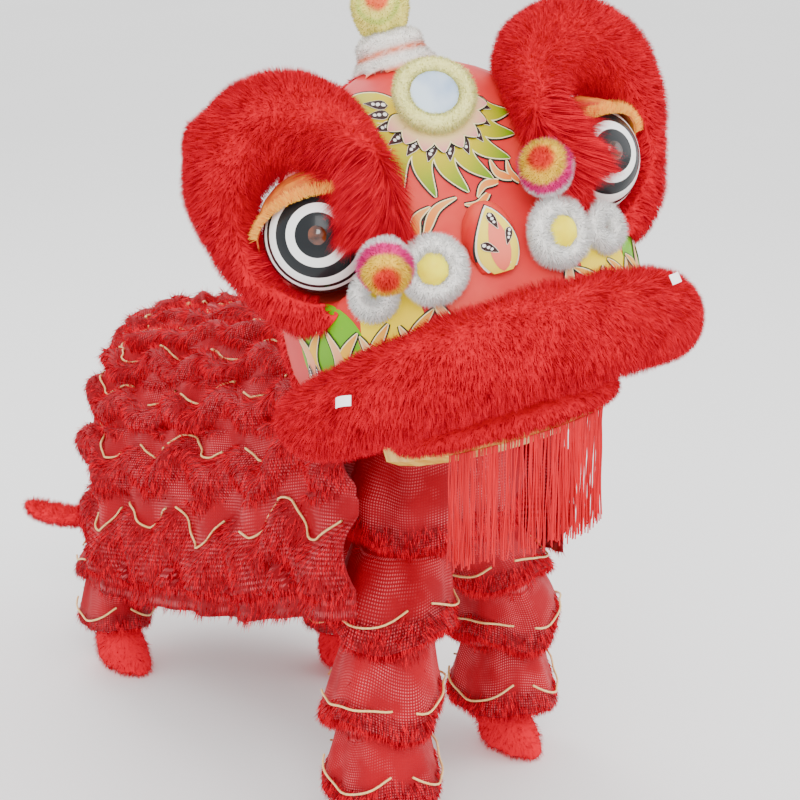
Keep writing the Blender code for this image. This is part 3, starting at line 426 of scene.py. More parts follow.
# White rolls with warm seams between them.
def hornTint(spots):
    up = (toHead(spots) - hornAt)[:, 2]
    seam = np.exp(-((up - 0.042) / 0.005) ** 2) + np.exp(-((up - 0.008) / 0.005) ** 2)
    seam = np.clip(seam, 0, 1)[:, None]
    return np.array([0.90, 0.86, 0.80]) * (1 - seam) + np.array([0.85, 0.22, 0.10]) * seam


furNode("horn_rolls", "horn_base_fur", "head", "white_fur", whiteFur | {"length": 0.009}, 12000,
        tintAt=hornTint)
ballLow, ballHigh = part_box("horn_ball")
ballAt = np.array((ballLow + ballHigh) / 2)


# Yellow with a red-orange diamond at the front, and green outside it.
def hornBallTint(spots):
    away = unit(toHead(spots) - toHead(ballAt))
    facing = away @ unit(np.array([-0.25, -0.9, 0.25]))
    yellow = np.array([0.90, 0.82, 0.20])
    orange = np.array([0.85, 0.14, 0.05])
    green = np.array([0.45, 0.62, 0.10])
    inner = smoothStep(facing, 0.86, 0.92)[:, None]
    ring = (smoothStep(facing, 0.52, 0.60) * (1 - smoothStep(facing, 0.68, 0.76)))[:, None] * 0.7
    colour = yellow * (1 - ring) + green * ring
    return colour * (1 - inner) + orange * inner


furNode("horn_crest", "horn_ball", "head", "yellow_fur", whiteFur | {"length": 0.009}, 9000,
        tintAt=hornBallTint, levels=2)

pompomAt = {"right": (-0.200, -0.372, 0.168), "left": (0.118, -0.345, 0.250)}
pompomFace = {"right": (-0.30, -0.80, -0.55), "left": (-0.35, -0.80, 0.45)}
for side in sides:
    centre = inHead(pompomAt[side])
    face = unit(inHead(pompomFace[side]))

    # Red in the middle, then yellow, magenta and white
    def pompomTint(spots, centre=centre, face=face):
        facing = unit(spots - centre) @ face
        stops = np.array([-1.0, -0.12, 0.02, 0.42, 0.52, 0.80, 0.90, 1.0])
        table = np.array([
            (0.92, 0.86, 0.84), (0.92, 0.84, 0.84), (0.80, 0.02, 0.26), (0.80, 0.02, 0.22),
            (0.92, 0.62, 0.05), (0.92, 0.55, 0.04), (0.78, 0.05, 0.02), (0.70, 0.02, 0.02),
        ])
        return np.stack([np.interp(facing, stops, table[:, k]) for k in range(3)], 1)

    furNode(f"pompom_ball_{side}", f"pompom_{side}", "head", "pompom_fur",
            whiteFur | {"length": 0.011, "tuft": 0.1}, 11000, tintAt=pompomTint, levels=2)

# Lashes along the lower edge of each eyelid
eyeTurn = 16
lashCount = 2600
lashRadius = 0.1145
for side, sign in sides.items():
    turn = math.radians(sign * eyeTurn)
    across = np.array([math.cos(turn), math.sin(turn), 0])
    ahead = np.array([math.sin(turn), -math.cos(turn), 0])
    swing = random.uniform(-1.25, 1.25, lashCount)
    rise = np.radians(random.uniform(34, 44, lashCount))
    middle = ahead * np.cos(rise)[:, None] + np.array([0, 0, 1.0]) * np.sin(rise)[:, None]
    facing = across * np.sin(swing)[:, None] + middle * np.cos(swing)[:, None]
    spots = inHead(np.array(eyeAt[side]) + facing * lashRadius)
    shade = random.random(lashCount)[:, None]
    tints = np.array([0.86, 0.30, 0.03]) * shade + np.array([0.88, 0.58, 0.10]) * (1 - shade)
    lashStyle = whiteFur | {"length": 0.016, "lift": 1.0, "comb": (0, 0, 0.2), "wild": 0.25}
    hairPoints, hairFaces, hairTints, hairNormals = strands(spots, inHead(facing), lashStyle, tints)
    place(makeMesh(f"lashes_{side}", hairPoints, [hairFaces], hairTints, hair), f"lid_{side}", "yellow_fur")
print("white fur")


# Painting on the shell and nose: flat motifs laid on the surface
paintPoints, paintFaces, paintTints = [], [], []


# A strip of paint: rows of chart points from left to right, laid on the surface along inward.
def addPatch(tree, chart, outline, lift, tints):
    centre, across, up, inward = (Vector(v) for v in chart)
    rows = []
    for row, tint in zip(outline, tints):
        line = []
        for u, v in row:
            start = centre + across * u + up * v - inward * 0.25
            spot, normal, _, _ = tree.ray_cast(start, inward, 0.6)
            if spot is None:
                line = None
                break
            if normal.dot(inward) > 0:
                normal = -normal
            line.append(len(paintPoints))
            paintPoints.append(spot + normal * lift)
            paintTints.append(tint)
        rows.append(line)
    for low, high in zip(rows, rows[1:]):
        if low and high:
            for k in range(len(low) - 1):
                paintFaces.append((low[k], low[k + 1], high[k + 1], high[k]))


# A curling tongue: black edge, pale edge and a fill that changes from root to tip.
def flame(tree, chart, root, tip, curl, width, colours, lift=0.0018, drop=False, steps=16):
    root, tip = np.array(root, float), np.array(tip, float)
    along = tip - root
    aside = np.array([-along[1], along[0]])
    black, cream = (0.006, 0.006, 0.006), (0.92, 0.84, 0.46)
    layers = ((0.0042, black, black), (0.0016, cream, cream), (-0.0004, *colours))
    for layer, (growth, first, second) in enumerate(layers):
        rows, tints = [], []
        for i in range(steps + 1):
            t = i / steps
            middle = root + along * t + aside * curl * math.sin(math.pi * 1.25 * t) * (0.35 + 0.65 * t)
            ahead = along + aside * curl * 3.9 * math.cos(math.pi * 1.25 * t)
            edge = np.array([-ahead[1], ahead[0]])
            edge = edge / np.linalg.norm(edge)
            bulge = math.sin(math.pi * min(0.10 + 0.90 * t, 1)) ** 0.7
            half = max(width * bulge * (1 - 0.45 * t) + growth, 0.0)
            rows.append([middle + edge * half * share for share in (-1, -0.33, 0.33, 1)])
            mix = t ** 1.3
            tints.append(np.array(first) * (1 - mix) + np.array(second) * mix)
        addPatch(tree, chart, rows, lift + layer * 0.0005, tints)
    if drop:
        spot = root + along * 0.34 + aside * curl * 0.3
        teardrop(tree, chart, spot, unit(along), width * 1.5, width * 0.36, lift + 0.002)


# A dark drop with a row of white dots.
def teardrop(tree, chart, spot, heading, length, half, lift):
    aside = np.array([-heading[1], heading[0]])
    for growth, tint, rise in ((0.0008, (0.88, 0.84, 0.66), 0.0), (0.0, (0.03, 0.01, 0.01), 0.0005)):
        rows = []
        for i in range(9):
            t = i / 8
            size = half * math.sin(math.pi * t ** 0.6) + growth
            centre = spot + heading * (t - 0.4) * length
            rows.append([centre - aside * size, centre + aside * size])
        addPatch(tree, chart, rows, lift + rise, [tint] * len(rows))
    for share in (-0.22, 0.0, 0.20):
        centre = spot + heading * share * length
        rows = []
        for i in range(7):
            lean = math.pi * i / 6
            size = half * 0.42 * (1 - 0.5 * abs(share + 0.2))
            level = centre + heading * size * math.cos(lean)
            rows.append([level - aside * size * math.sin(lean), level + aside * size * math.sin(lean)])
        addPatch(tree, chart, rows, lift + 0.001, [(0.85, 0.85, 0.80)] * len(rows))


# A flat chart for motifs, given in the head's axes.
def headChart(centre, across, up, inward):
    return [tuple(inHead(v)) for v in (centre, across, up, inward)]


front = headChart((0, -0.36, 0), (1, 0, 0), (0, 0, 1), (0, 1, 0))
yellowGreen = ((0.80, 0.56, 0.0), (0.08, 0.28, 0.0))
orangeRed = ((0.86, 0.22, 0.02), (0.88, 0.42, 0.10))
# Ring of flames below the mirror: angle round it, length, curl
mirrorFlames = (
    (352, 0.085, 0.16), (336, 0.095, 0.18), (319, 0.105, 0.20), (301, 0.110, 0.22), (283, 0.112, 0.24),
    (264, 0.115, 0.25), (246, 0.118, 0.25), (229, 0.120, 0.24), (212, 0.118, 0.22), (197, 0.110, 0.20),
    (183, 0.095, 0.18),
)
mirrorSpot = np.array([0.0, 0.415])


def compass(angle):
    return np.array([math.cos(math.radians(angle)), math.sin(math.radians(angle))])


for order, (angle, reach, curl) in enumerate(mirrorFlames):
    root = mirrorSpot + compass(angle) * 0.058
    flame(shellTree, front, root, root + compass(angle - 30) * reach,
          -curl, 0.0235, yellowGreen, lift=0.0012 + order * 0.0002, drop=True)
for angle in range(200, 341, 20):
    heading = compass(angle)
    flame(shellTree, front, mirrorSpot + heading * 0.060, mirrorSpot + heading * 0.096, 0.0, 0.017,
          ((0.86, 0.74, 0.30), (0.78, 0.22, 0.28)), lift=0.0062)
# Small orange flames above the nose
for root, tip, curl, width in (
    ((-0.120, 0.185), (-0.128, 0.235), -0.20, 0.008), ((-0.112, 0.195), (-0.080, 0.245), 0.22, 0.009),
    ((-0.095, 0.200), (-0.030, 0.250), 0.15, 0.008), ((-0.130, 0.180), (-0.140, 0.215), 0.2, 0.006),
    ((0.030, 0.235), (-0.015, 0.222), 0.18, 0.006), ((0.055, 0.250), (0.008, 0.240), -0.20, 0.007),
    ((0.080, 0.250), (0.050, 0.285), 0.22, 0.008), ((0.092, 0.240), (0.080, 0.280), 0.15, 0.006),
):
    flame(shellTree, front, root, tip, curl, width, orangeRed)
# Cheeks: patches of green, yellow and pink with flames over them
cheekColours = (((0.88, 0.70, 0.0), (0.80, 0.30, 0.04)), ((0.80, 0.22, 0.16), (0.90, 0.52, 0.20)))
for side in (-1, 1):
    cheek = headChart((side * 0.245, -0.25, 0.06), (0.80, side * 0.60, 0), (0, 0, 1), (-side * 0.60, 0.80, 0))
    for spot, size, tint in (
        ((side * 0.075, -0.02), (0.080, 0.090), (0.14, 0.42, 0.0)),
        ((-side * 0.060, -0.01), (0.060, 0.095), (0.90, 0.70, 0.0)),
        ((side * 0.010, -0.05), (0.022, 0.060), (0.84, 0.24, 0.10)),
    ):
        turns = [math.pi * i / 16 for i in range(17)]
        rows = [[(spot[0] + size[0] * math.sin(turn) * share, spot[1] + size[1] * math.cos(turn))
                 for share in np.linspace(-1, 1, 13)] for turn in turns]
        addPatch(shellTree, cheek, rows, 0.0009, [tint] * len(rows))
    for root, tip, curl, kind in (
        ((-0.12, -0.08), (-0.10, 0.035), 0.2, 0), ((-0.09, -0.085), (-0.055, 0.02), -0.2, 1),
        ((-0.055, -0.09), (-0.02, 0.015), 0.2, 0), ((-0.02, -0.09), (0.01, 0.0), -0.2, 1),
        ((0.02, -0.09), (0.04, 0.015), 0.2, 0), ((0.055, -0.09), (0.085, 0.0), -0.2, 1),
        ((0.09, -0.08), (0.12, 0.02), 0.2, 0), ((0.125, -0.08), (0.150, 0.03), -0.2, 1),
        ((-0.15, -0.07), (-0.135, 0.03), -0.2, 1),
    ):
        mirrored = [(spot[0] * side * -1, spot[1]) for spot in (root, tip)]
        flame(shellTree, cheek, *mirrored, -side * curl, 0.015, cheekColours[kind],
              lift=0.0020 + 0.0004 * kind, drop=True)

noseSurface = rounded("nose", 2, 2)
noseTree = BVHTree.FromPolygons(noseSurface[0].tolist(), noseSurface[1].tolist())
leaf = headChart((0, -0.40, 0.156), (1, 0, 0), (0, 0, 1), (0, 1, 0))


# A pointed oval, as rows for addPatch.
def leafRows(half, top, bottom):
    rows = []
    for i in range(17):
        t = i / 16
        size = half * math.sin(math.pi * t ** 0.75) ** 0.8
        level = bottom + (top - bottom) * t
        rows.append([(-size, level), (-size * 0.4, level), (size * 0.4, level), (size, level)])
    return rows


# A leaf of four layers on the nose, with three drops
for half, top, bottom, lift, tint in (
    (0.040, 0.064, -0.066, 0.0015, (0.02, 0.02, 0.02)), (0.037, 0.061, -0.062, 0.0020, (0.90, 0.86, 0.66)),
    (0.034, 0.057, -0.058, 0.0025, (0.90, 0.70, 0.06)), (0.017, 0.045, -0.050, 0.0030, (0.85, 0.16, 0.10)),
):
    rows = leafRows(half, top, bottom)
    addPatch(noseTree, leaf, rows, lift, [tint] * len(rows))
for spot, heading in (
    ((-0.018, -0.006), (0.75, -0.66)), ((0.019, 0.006), (-0.45, -0.9)), ((0.0, 0.036), (0.2, -0.98)),
):
    teardrop(noseTree, leaf, np.array(spot), unit(np.array(heading)), 0.030, 0.0065, 0.0036)

paint = look("paint", tinted, 0.5, Specular_IOR_Level=0.25)
painting = makeMesh("shell_painting", paintPoints, [paintFaces], np.array(paintTints), paint)
place(painting, "head", "painted_shell")
print("painting", len(paintFaces))


# Coral paint, deep to pale in soft brush clouds.
def coral(start):
    cloud = start.node("ShaderNodeTexNoise", {"Vector": start, "Scale": 9.0, "Detail": 3.0})
    deep, middling, pale = (0.60, 0.008, 0.014), (0.68, 0.025, 0.024), (0.78, 0.075, 0.045)
    return cloud.ramp(((0.30, deep), (0.52, middling), (0.72, pale)))


def plainCloud(low, high, scale=30.0):
    def paintCloud(start):
        cloud = start.node("ShaderNodeTexNoise", {"Vector": start, "Scale": scale, "Detail": 3.0})
        return cloud.ramp(((0.35, low), (0.65, high)))
    return paintCloud


def eyeRings(side):
    centre = Vector(inHead(eyeAt[side]))
    sign = sides[side]
    turn = math.radians(sign * eyeTurn)
    forward = Vector(inHead((math.sin(turn), -math.cos(turn), 0)))

    def paintRings(start):
        away = start.node("ShaderNodeVectorMath", {0: start, 1: tuple(centre)}, operation="SUBTRACT")
        away = away.node("ShaderNodeVectorMath", {0: away}, operation="NORMALIZE")
        facing = away.node("ShaderNodeVectorMath", {0: away, 1: tuple(forward)},
                           operation="DOT_PRODUCT", output=1)
        angle = facing.sum("ARCCOSINE") / (math.pi / 2)
        black, white = (0.012, 0.014, 0.016), (0.90, 0.90, 0.88)
        starts = (0.0, 0.25, 0.36, 0.51, 0.64, 0.70, 0.78)
        rings = [(share, white if order % 2 else black) for order, share in enumerate(starts)]
        return angle.ramp(rings, constant=True)
    return paintRings


# A look for a CAD node that stays in view.
def dress(nodeName, material):
    node = nodes[nodeName]
    node.data.materials.clear()
    node.data.materials.append(material)


# A CAD node's form in one smooth skin.
def smoothed(name, nodeName, material, slotName, surface):
    points, triangles, normals = surface
    return place(makeMesh(name, points, [triangles], None, material), "head", slotName, nodeName)


shellPaint = look("shell_paint", coral, 0.5, Specular_IOR_Level=0.25)
smoothed("shell_skin", "head_shell", shellPaint, "painted_shell", shellSurface)
smoothed("nose_skin", "nose", shellPaint, "painted_shell", noseSurface)
turns = np.linspace(0, 2 * np.pi, 64, endpoint=False)
a, b = np.meshgrid(turns, np.linspace(0, np.pi, 33))
globe = np.stack([np.sin(b) * np.cos(a), np.sin(b) * np.sin(a), np.cos(b)], -1).reshape(-1, 3)
globeFaces = gridFaces(*a.shape, True)[:, ::-1]
globeRadius = 0.1005
darkGlass = plainCloud((0.004, 0.003, 0.003), (0.14, 0.03, 0.008), 50.0)
lidOrange = plainCloud((0.45, 0.03, 0.01), (0.75, 0.24, 0.02))
cupYellow = plainCloud((0.88, 0.70, 0.0), (0.94, 0.84, 0.02))
for side in sides:
    ringed = look(f"globe_rings_{side}", eyeRings(side), 0.25, Specular_IOR_Level=0.15, Coat_Weight=0.12)
    spots = globe * globeRadius + inHead(eyeAt[side])
    place(makeMesh(f"eyeball_{side}", spots, [globeFaces], None, ringed), "head", "eye_paint")
    ringed = look(f"eye_rings_{side}", eyeRings(side), 0.25, Specular_IOR_Level=0.15)
    dress(f"eye_{side}", ringed)
    smoothed(f"pupil_glass_{side}", f"pupil_{side}", look("pupil", darkGlass, 0.12, Coat_Weight=0.4),
             "pupil_glass", rounded(f"pupil_{side}", 2, 1))
    dress(f"eyelid_{side}", look("lid_paint", lidOrange, 0.5))
    cupPaint = look("cup_paint", cupYellow, 0.4, Specular_IOR_Level=0.2)
    smoothed(f"nostril_cup_{side}", f"nostril_{side}", cupPaint, "yellow_paint",
             rounded(f"nostril_{side}", 2, 1))
dress("grip_bar", look("cane", plainCloud((0.42, 0.24, 0.09), (0.62, 0.40, 0.18)), 0.6))
dress("jaw_board", look("board", plainCloud((0.70, 0.36, 0.03), (0.90, 0.62, 0.12), 45.0), 0.35,
                        Metallic=0.25))
# The mirror's blue and white clouds are painted reflection.
dress("forehead_mirror", look("mirror", plainCloud((0.14, 0.28, 0.62), (0.66, 0.78, 0.90), 9.0), 0.15,
                              Metallic=0.2))


# Body drape
drapeSizes = {
    "centre": 0.110, "halfWidth": 0.285, "spineEnd": 1.080, "rump": 0.245, "frontTop": 0.140,
    "frontHem": 0.130, "top": 0.950, "hem": 0.240, "squareness": 3.1, "tiers": 6, "sideColumns": 13,
    "rumpColumns": 6, "flounce": 0.036, "gather": 0.013, "puffShare": 0.66, "hairs": 92000,
    "flat": (1.75, 1.90), "flatArea": 2.68,
}
# Stations along the back: distance, and shares of top, hem and half width
drapeStations = np.array([
    (0.10, 1.20, 2.20, 1.00), (0.30, 1.20, 1.95, 1.02), (0.50, 1.10, 1.60, 1.00),
    (0.85, 0.99, 1.20, 1.00), (1.00, 0.95, 1.02, 1.00), (1.16, 0.90, 1.00, 1.00),
])


# How far a tier's edge swings up and down, as a share of the tier.
def scallop(column, tier):
    shift = np.sin(tier * 2.4) * 1.3
    return 0.34 * np.cos(column * 2.15 + shift) + 0.16 * np.sin(column * 0.9 + tier * 1.9)


# How far the cloth stands out: a puffed roll of fur on each tier, and vertical gathers.
def drapeOut(column, level):
    s = drapeSizes
    height = level * s["tiers"]
    tier = np.floor(height)
    phase = height + scallop(column, tier) * 0.5
    phase = np.where(phase < 0, 0.3, phase - np.floor(phase))
    puff = np.sin(np.pi * np.clip(phase / s["puffShare"], 0, 1)) ** 0.8
    folds = np.cos(column * math.pi) * 0.6 + 0.5 * np.cos(column * 2.15 + tier * 1.7)
    out = s["flounce"] * (puff - 0.15) * (level > 0.01) + s["gather"] * folds * (level < 0.999)
    return out, phase


# The drape's surface: columns run round from the back's middle, levels from hem to spine.
def drapePoint(column, level, out):
    s = drapeSizes
    power = 2.0 / s["squareness"]
    lean = np.pi / 2 * level
    spread = np.maximum(np.cos(lean), 0) ** power
    rise = np.sin(lean) ** power
    side = np.sign(column) + (column == 0)
    step = np.abs(column)
    beyond = step > s["rumpColumns"]
    share = (step - s["rumpColumns"]) / s["sideColumns"]
    front = s["frontHem"] + (s["frontTop"] - s["frontHem"]) * np.minimum(level * 2.2, 1)
    swing = np.pi / 2 * step / s["rumpColumns"]
    along = np.where(beyond, s["spineEnd"] - (s["spineEnd"] - front) * share, s["spineEnd"])
    headX = np.where(beyond, side, side * np.sin(swing))
    headY = np.where(beyond, 0.0, np.cos(swing))
    table = [np.interp(along, drapeStations[:, 0], drapeStations[:, k]) for k in (1, 2, 3)]
    top, hem, half = s["top"] * table[0], s["hem"] * table[1], s["halfWidth"] * table[2]
    x = s["centre"] + headX * half * spread + headX * out * spread
    y = along + headY * s["rump"] * spread + headY * out * spread
    z = hem + (top - hem) * rise + floorLevel + out * rise * 0.6
    return np.stack([x, y, z], -1)


# Rows up the head: share of its height, and shares of half width, front depth and back depth
headRows = np.array([
    (0.00, 0.97, 0.98, 0.93), (0.18, 1.00, 1.00, 1.00), (0.35, 0.97, 0.91, 1.00), (0.50, 0.92, 0.80, 0.98),
    (0.65, 0.82, 0.72, 0.91), (0.80, 0.67, 0.62, 0.78), (0.92, 0.45, 0.43, 0.54), (1.00, 0.16, 0.14, 0.20),
])
headSizes = {
    "halfWidth": 0.335, "front": 0.345, "back": 0.300, "low": -0.03, "height": 0.540, "squareness": 2.3,
}


# True for points within the outer form of the head.
def insideHead(points, margin=0.002):
    local = toHead(points)
    share = (local[..., 2] - headSizes["low"]) / headSizes["height"]
    sizes = [np.interp(share, headRows[:, 0], headRows[:, k]) for k in (1, 2, 3)]
    wide = headSizes["halfWidth"] * sizes[0] + margin
    deep = np.where(local[..., 1] < 0, headSizes["front"] * sizes[1], headSizes["back"] * sizes[2]) + margin
    power = headSizes["squareness"]
    reach = np.abs(local[..., 0] / wide) ** power + np.abs(local[..., 1] / deep) ** power
    return (reach < 1) & (share > -0.02) & (share < 1.01)


def vertexNormals(points, faces):
    corners = points[faces]
    facing = np.cross(corners[:, 2] - corners[:, 0], corners[:, 3] - corners[:, 1])
    normals = np.zeros_like(points)
    for k in range(4):
        np.add.at(normals, faces[:, k], facing)
    return unit(normals)


sequinsPerMetre = 190.0


# Red net with small sequins in rows; their pale colour, strong only in patches, is painted glint.
def sequinNet(start):
    weave = start.node("ShaderNodeUVMap", uv_map="weave")
    scaled = weave.node("ShaderNodeVectorMath", {0: weave, "Scale": sequinsPerMetre}, operation="SCALE")
    cell = scaled.node("ShaderNodeVectorMath", {0: scaled}, operation="FRACTION")
    away = cell.node("ShaderNodeVectorMath", {0: cell, 1: (0.5, 0.5, 0.0)}, operation="DISTANCE", output=1)
    dot = 1.0 - away.node("ShaderNodeMapRange", {0: away, 1: 0.22, 2: 0.34}, interpolation_type="SMOOTHSTEP")
    cloud = start.node("ShaderNodeTexNoise", {"Vector": start, "Scale": 14.0, "Detail": 2.0})
    glintPatch = cloud.node("ShaderNodeMapRange", {0: cloud, 1: 0.42, 2: 0.62})
    tint = start.node("ShaderNodeAttribute", attribute_name="tint")
    # The sequin dots are mixed to pale pink where the patches fall: painted glint.
    colour = tint.blendTo(dot * (glintPatch * 0.55 + 0.02), (0.84, 0.16, 0.18))
    return colour, (dot, 0.5, 0.0010)


# A closed wall of cloth: the outer face, an inner one painted darker as painted shade, and a rim round its
# edges.
def clothWall(name, points, faces, normals, tints, uvs, wall=0.003):
    count = len(points)
    edges = np.stack([faces, np.roll(faces, -1, 1)], -1).reshape(-1, 2)
    _, first, uses = np.unique(np.sort(edges, 1), axis=0, return_index=True, return_counts=True)
    rim = edges[first[uses == 1]]
    rim = np.stack([rim[:, 1], rim[:, 0], rim[:, 0] + count, rim[:, 1] + count], 1)
    both = np.concatenate([points, points - normals * wall])
    # The inner face gets the tints times 0.8: painted shade inside the cloth.
    return makeMesh(name, both, [faces, faces[:, ::-1] + count, rim],
                    np.concatenate([tints, tints * 0.8]), net, np.concatenate([uvs, uvs]))


# The net glows a little in its own colour: painted light.
net = look("sequin_net", sequinNet, 0.55, Specular_IOR_Level=0.12, Emission_Strength=0.12)
netRed = np.array([0.33, 0.0, 0.008])
ruffleRed = (0.76, 0.0, 0.020)
cordGold = look("gold_cord", plainCloud((0.80, 0.48, 0.16), (0.90, 0.62, 0.28), 120.0), 0.4, Metallic=0.15)


# Arrays of a tube along a path.
def tube(path, radius, corners=5):
    path = np.asarray(path, float)
    ahead = unit(np.gradient(path, axis=0))
    guide = np.where(np.abs(ahead[:, 2:3]) < 0.9, np.array([[0, 0, 1.0]]), np.array([[1.0, 0, 0]]))
    first = unit(np.cross(ahead, guide))
    second = np.cross(ahead, first)
    swing = (2 * np.pi * np.arange(corners) / corners)[:, None]
    ring = path[:, None] + radius * (first[:, None] * np.cos(swing) + second[:, None] * np.sin(swing))
    return ring.reshape(-1, 3), gridFaces(len(path), corners, True)


# Joins a list of (points, faces) into one.
def gather(meshes):
    points, faces, count = [], [], 0
    for p, f in meshes:
        points.append(p)
        faces.append(f + count)
        count += len(p)
    return np.concatenate(points), np.concatenate(faces)


fineColumns = np.linspace(-19, 19, 267)
fineLevels = np.linspace(0, 1, 109)
u, v = np.meshgrid(fineColumns, fineLevels)
out, phase = drapeOut(u, v)
surface = drapePoint(u, v, out).reshape(-1, 3)
phase = phase.reshape(-1)
faces = gridFaces(len(fineLevels), len(fineColumns))
kept = ~insideHead(surface)
faces = faces[kept[faces].all(1)]
normals = vertexNormals(surface, faces)
if (normals[:, 2] * (surface[:, 2] > -0.3)).sum() < 0:
    faces = faces[:, ::-1]
    normals = -normals
puffShare, tierCount = drapeSizes["puffShare"], drapeSizes["tiers"]
furry = smoothStep(phase, 0.0, 0.04) * (1 - smoothStep(phase, 0.60, puffShare))
# The net is painted darker under the fur flounces: painted shade.
tints = netRed * (0.75 + 0.25 * np.clip(1 - furry, 0, 1))[:, None]
tints = tints * (1 + 0.12 * ripple(surface, 20.0))[:, None]
around = np.stack([u.ravel() * 0.075, v.ravel() * 0.85], 1)
sheet = clothWall("drape_net", surface, faces, normals, tints, around)
place(sheet, "head", "red_mesh", "body_drape")
triangles = np.concatenate([faces[:, [0, 1, 2]], faces[:, [0, 2, 3]]])
keep = furry[triangles].mean(1) + 0.001
spots, facing = scatter(surface, triangles, normals, drapeSizes["hairs"], keep)
drapeStyle = redFur | {"length": 0.022, "lift": 0.50, "comb": (0, 0, -0.9), "wild": 0.20, "width": 0.0019}
drapeFur = loosePile("drape_flounces", spots, facing, drapeStyle, ruffleRed)
# Gold cord along the upper edge of each flounce, in broken arcs
cords = []
for tier in range(1, tierCount + 1):
    for start in np.arange(-18.6, 18.2, 2.92):
        span = np.linspace(start, start + 2.2 + 0.6 * math.sin(start * 3 + tier), 24)
        level = (tier - 1 + puffShare - scallop(span, tier - 1) * 0.5) / tierCount
        level = np.clip(level, 0, 0.995)
        standing, _ = drapeOut(span, level)
        path = drapePoint(span, level, standing + 0.008 + 0.003 * np.sin(span * 9 + tier))
        if insideHead(path, 0.02).any():
            continue
        cords.append(tube(path, 0.0026))
cordPoints, cordFaces = gather(cords)
drapeCord = place(makeMesh("drape_cord", cordPoints, [cordFaces], None, cordGold), "head", "red_mesh")
print("drape")


# Trousers
# Rows up a leg and up the hips: share of height, and share of radius
legRows = np.array([
    (0.0, 0.38), (0.03, 0.95), (0.07, 0.98), (0.34, 0.68), (0.38, 1.0),
    (0.43, 0.98), (0.68, 0.72), (0.72, 1.04), (0.77, 1.0), (1.0, 0.80),
])
hipRows = np.array([(0.0, 0.72), (0.2, 0.98), (0.55, 1.0), (0.85, 0.84), (1.0, 0.84)])
trousers = {
    "front": {
        "feet": {"right": (-0.080, 0.150), "left": (0.370, 0.300)}, "hip": (0.125, 0.240), "crotch": 0.600,
        "waist": 0.830, "halfWidth": 0.205, "radius": 0.122, "hairs": 56000,
        "flat": (1.60, 0.95), "flatArea": 1.23,
    },
    "rear": {
        "feet": {"right": (-0.100, 1.180), "left": (0.320, 0.840)}, "hip": (0.110, 1.020), "crotch": 0.500,
        "waist": 0.740, "halfWidth": 0.180, "radius": 0.090, "hairs": 15000,
        "flat": (1.25, 0.85), "flatArea": 0.87,
    },
}
legTiers = 2.95
hipDepth = 0.135


# The surface of a leg: turn is an angle round it and level runs up it.
def legPoint(end, side, turn, level):
    s = trousers[end]
    sign = sides[side]
    foot, hip = s["feet"][side], s["hip"]
    low, high = 0.105 + floorLevel, s["crotch"] + floorLevel
    lean = np.clip((level - 0.45) / 0.55, 0, 1) ** 1.5
    x = foot[0] + (hip[0] + sign * 0.085 - foot[0]) * lean
    y = foot[1] + (hip[1] - foot[1]) * lean
    tier = np.floor(level * legTiers + 0.02)
    droop = 0.022 * np.cos(turn * 3 + tier * 2.1) * np.sin(np.pi * np.clip(level, 0, 1))
    size = s["radius"] * np.interp(level, legRows[:, 0], legRows[:, 1])
    gathers = 1 + 0.045 * np.cos(turn * 5 + tier) + 0.02 * np.cos(turn * 11 + level * 9)
    size = size * np.where(level < 0.02, 1, gathers) * np.where(level > 1, 0.85, 1)
    x = x - sign * 0.017 * (level > 1)
    rise = low + (high - low) * np.minimum(level, 1) + 0.6 * np.maximum(level - 1, 0)
    return np.stack([x + size * np.cos(turn), y + size * np.sin(turn), rise + droop], -1)


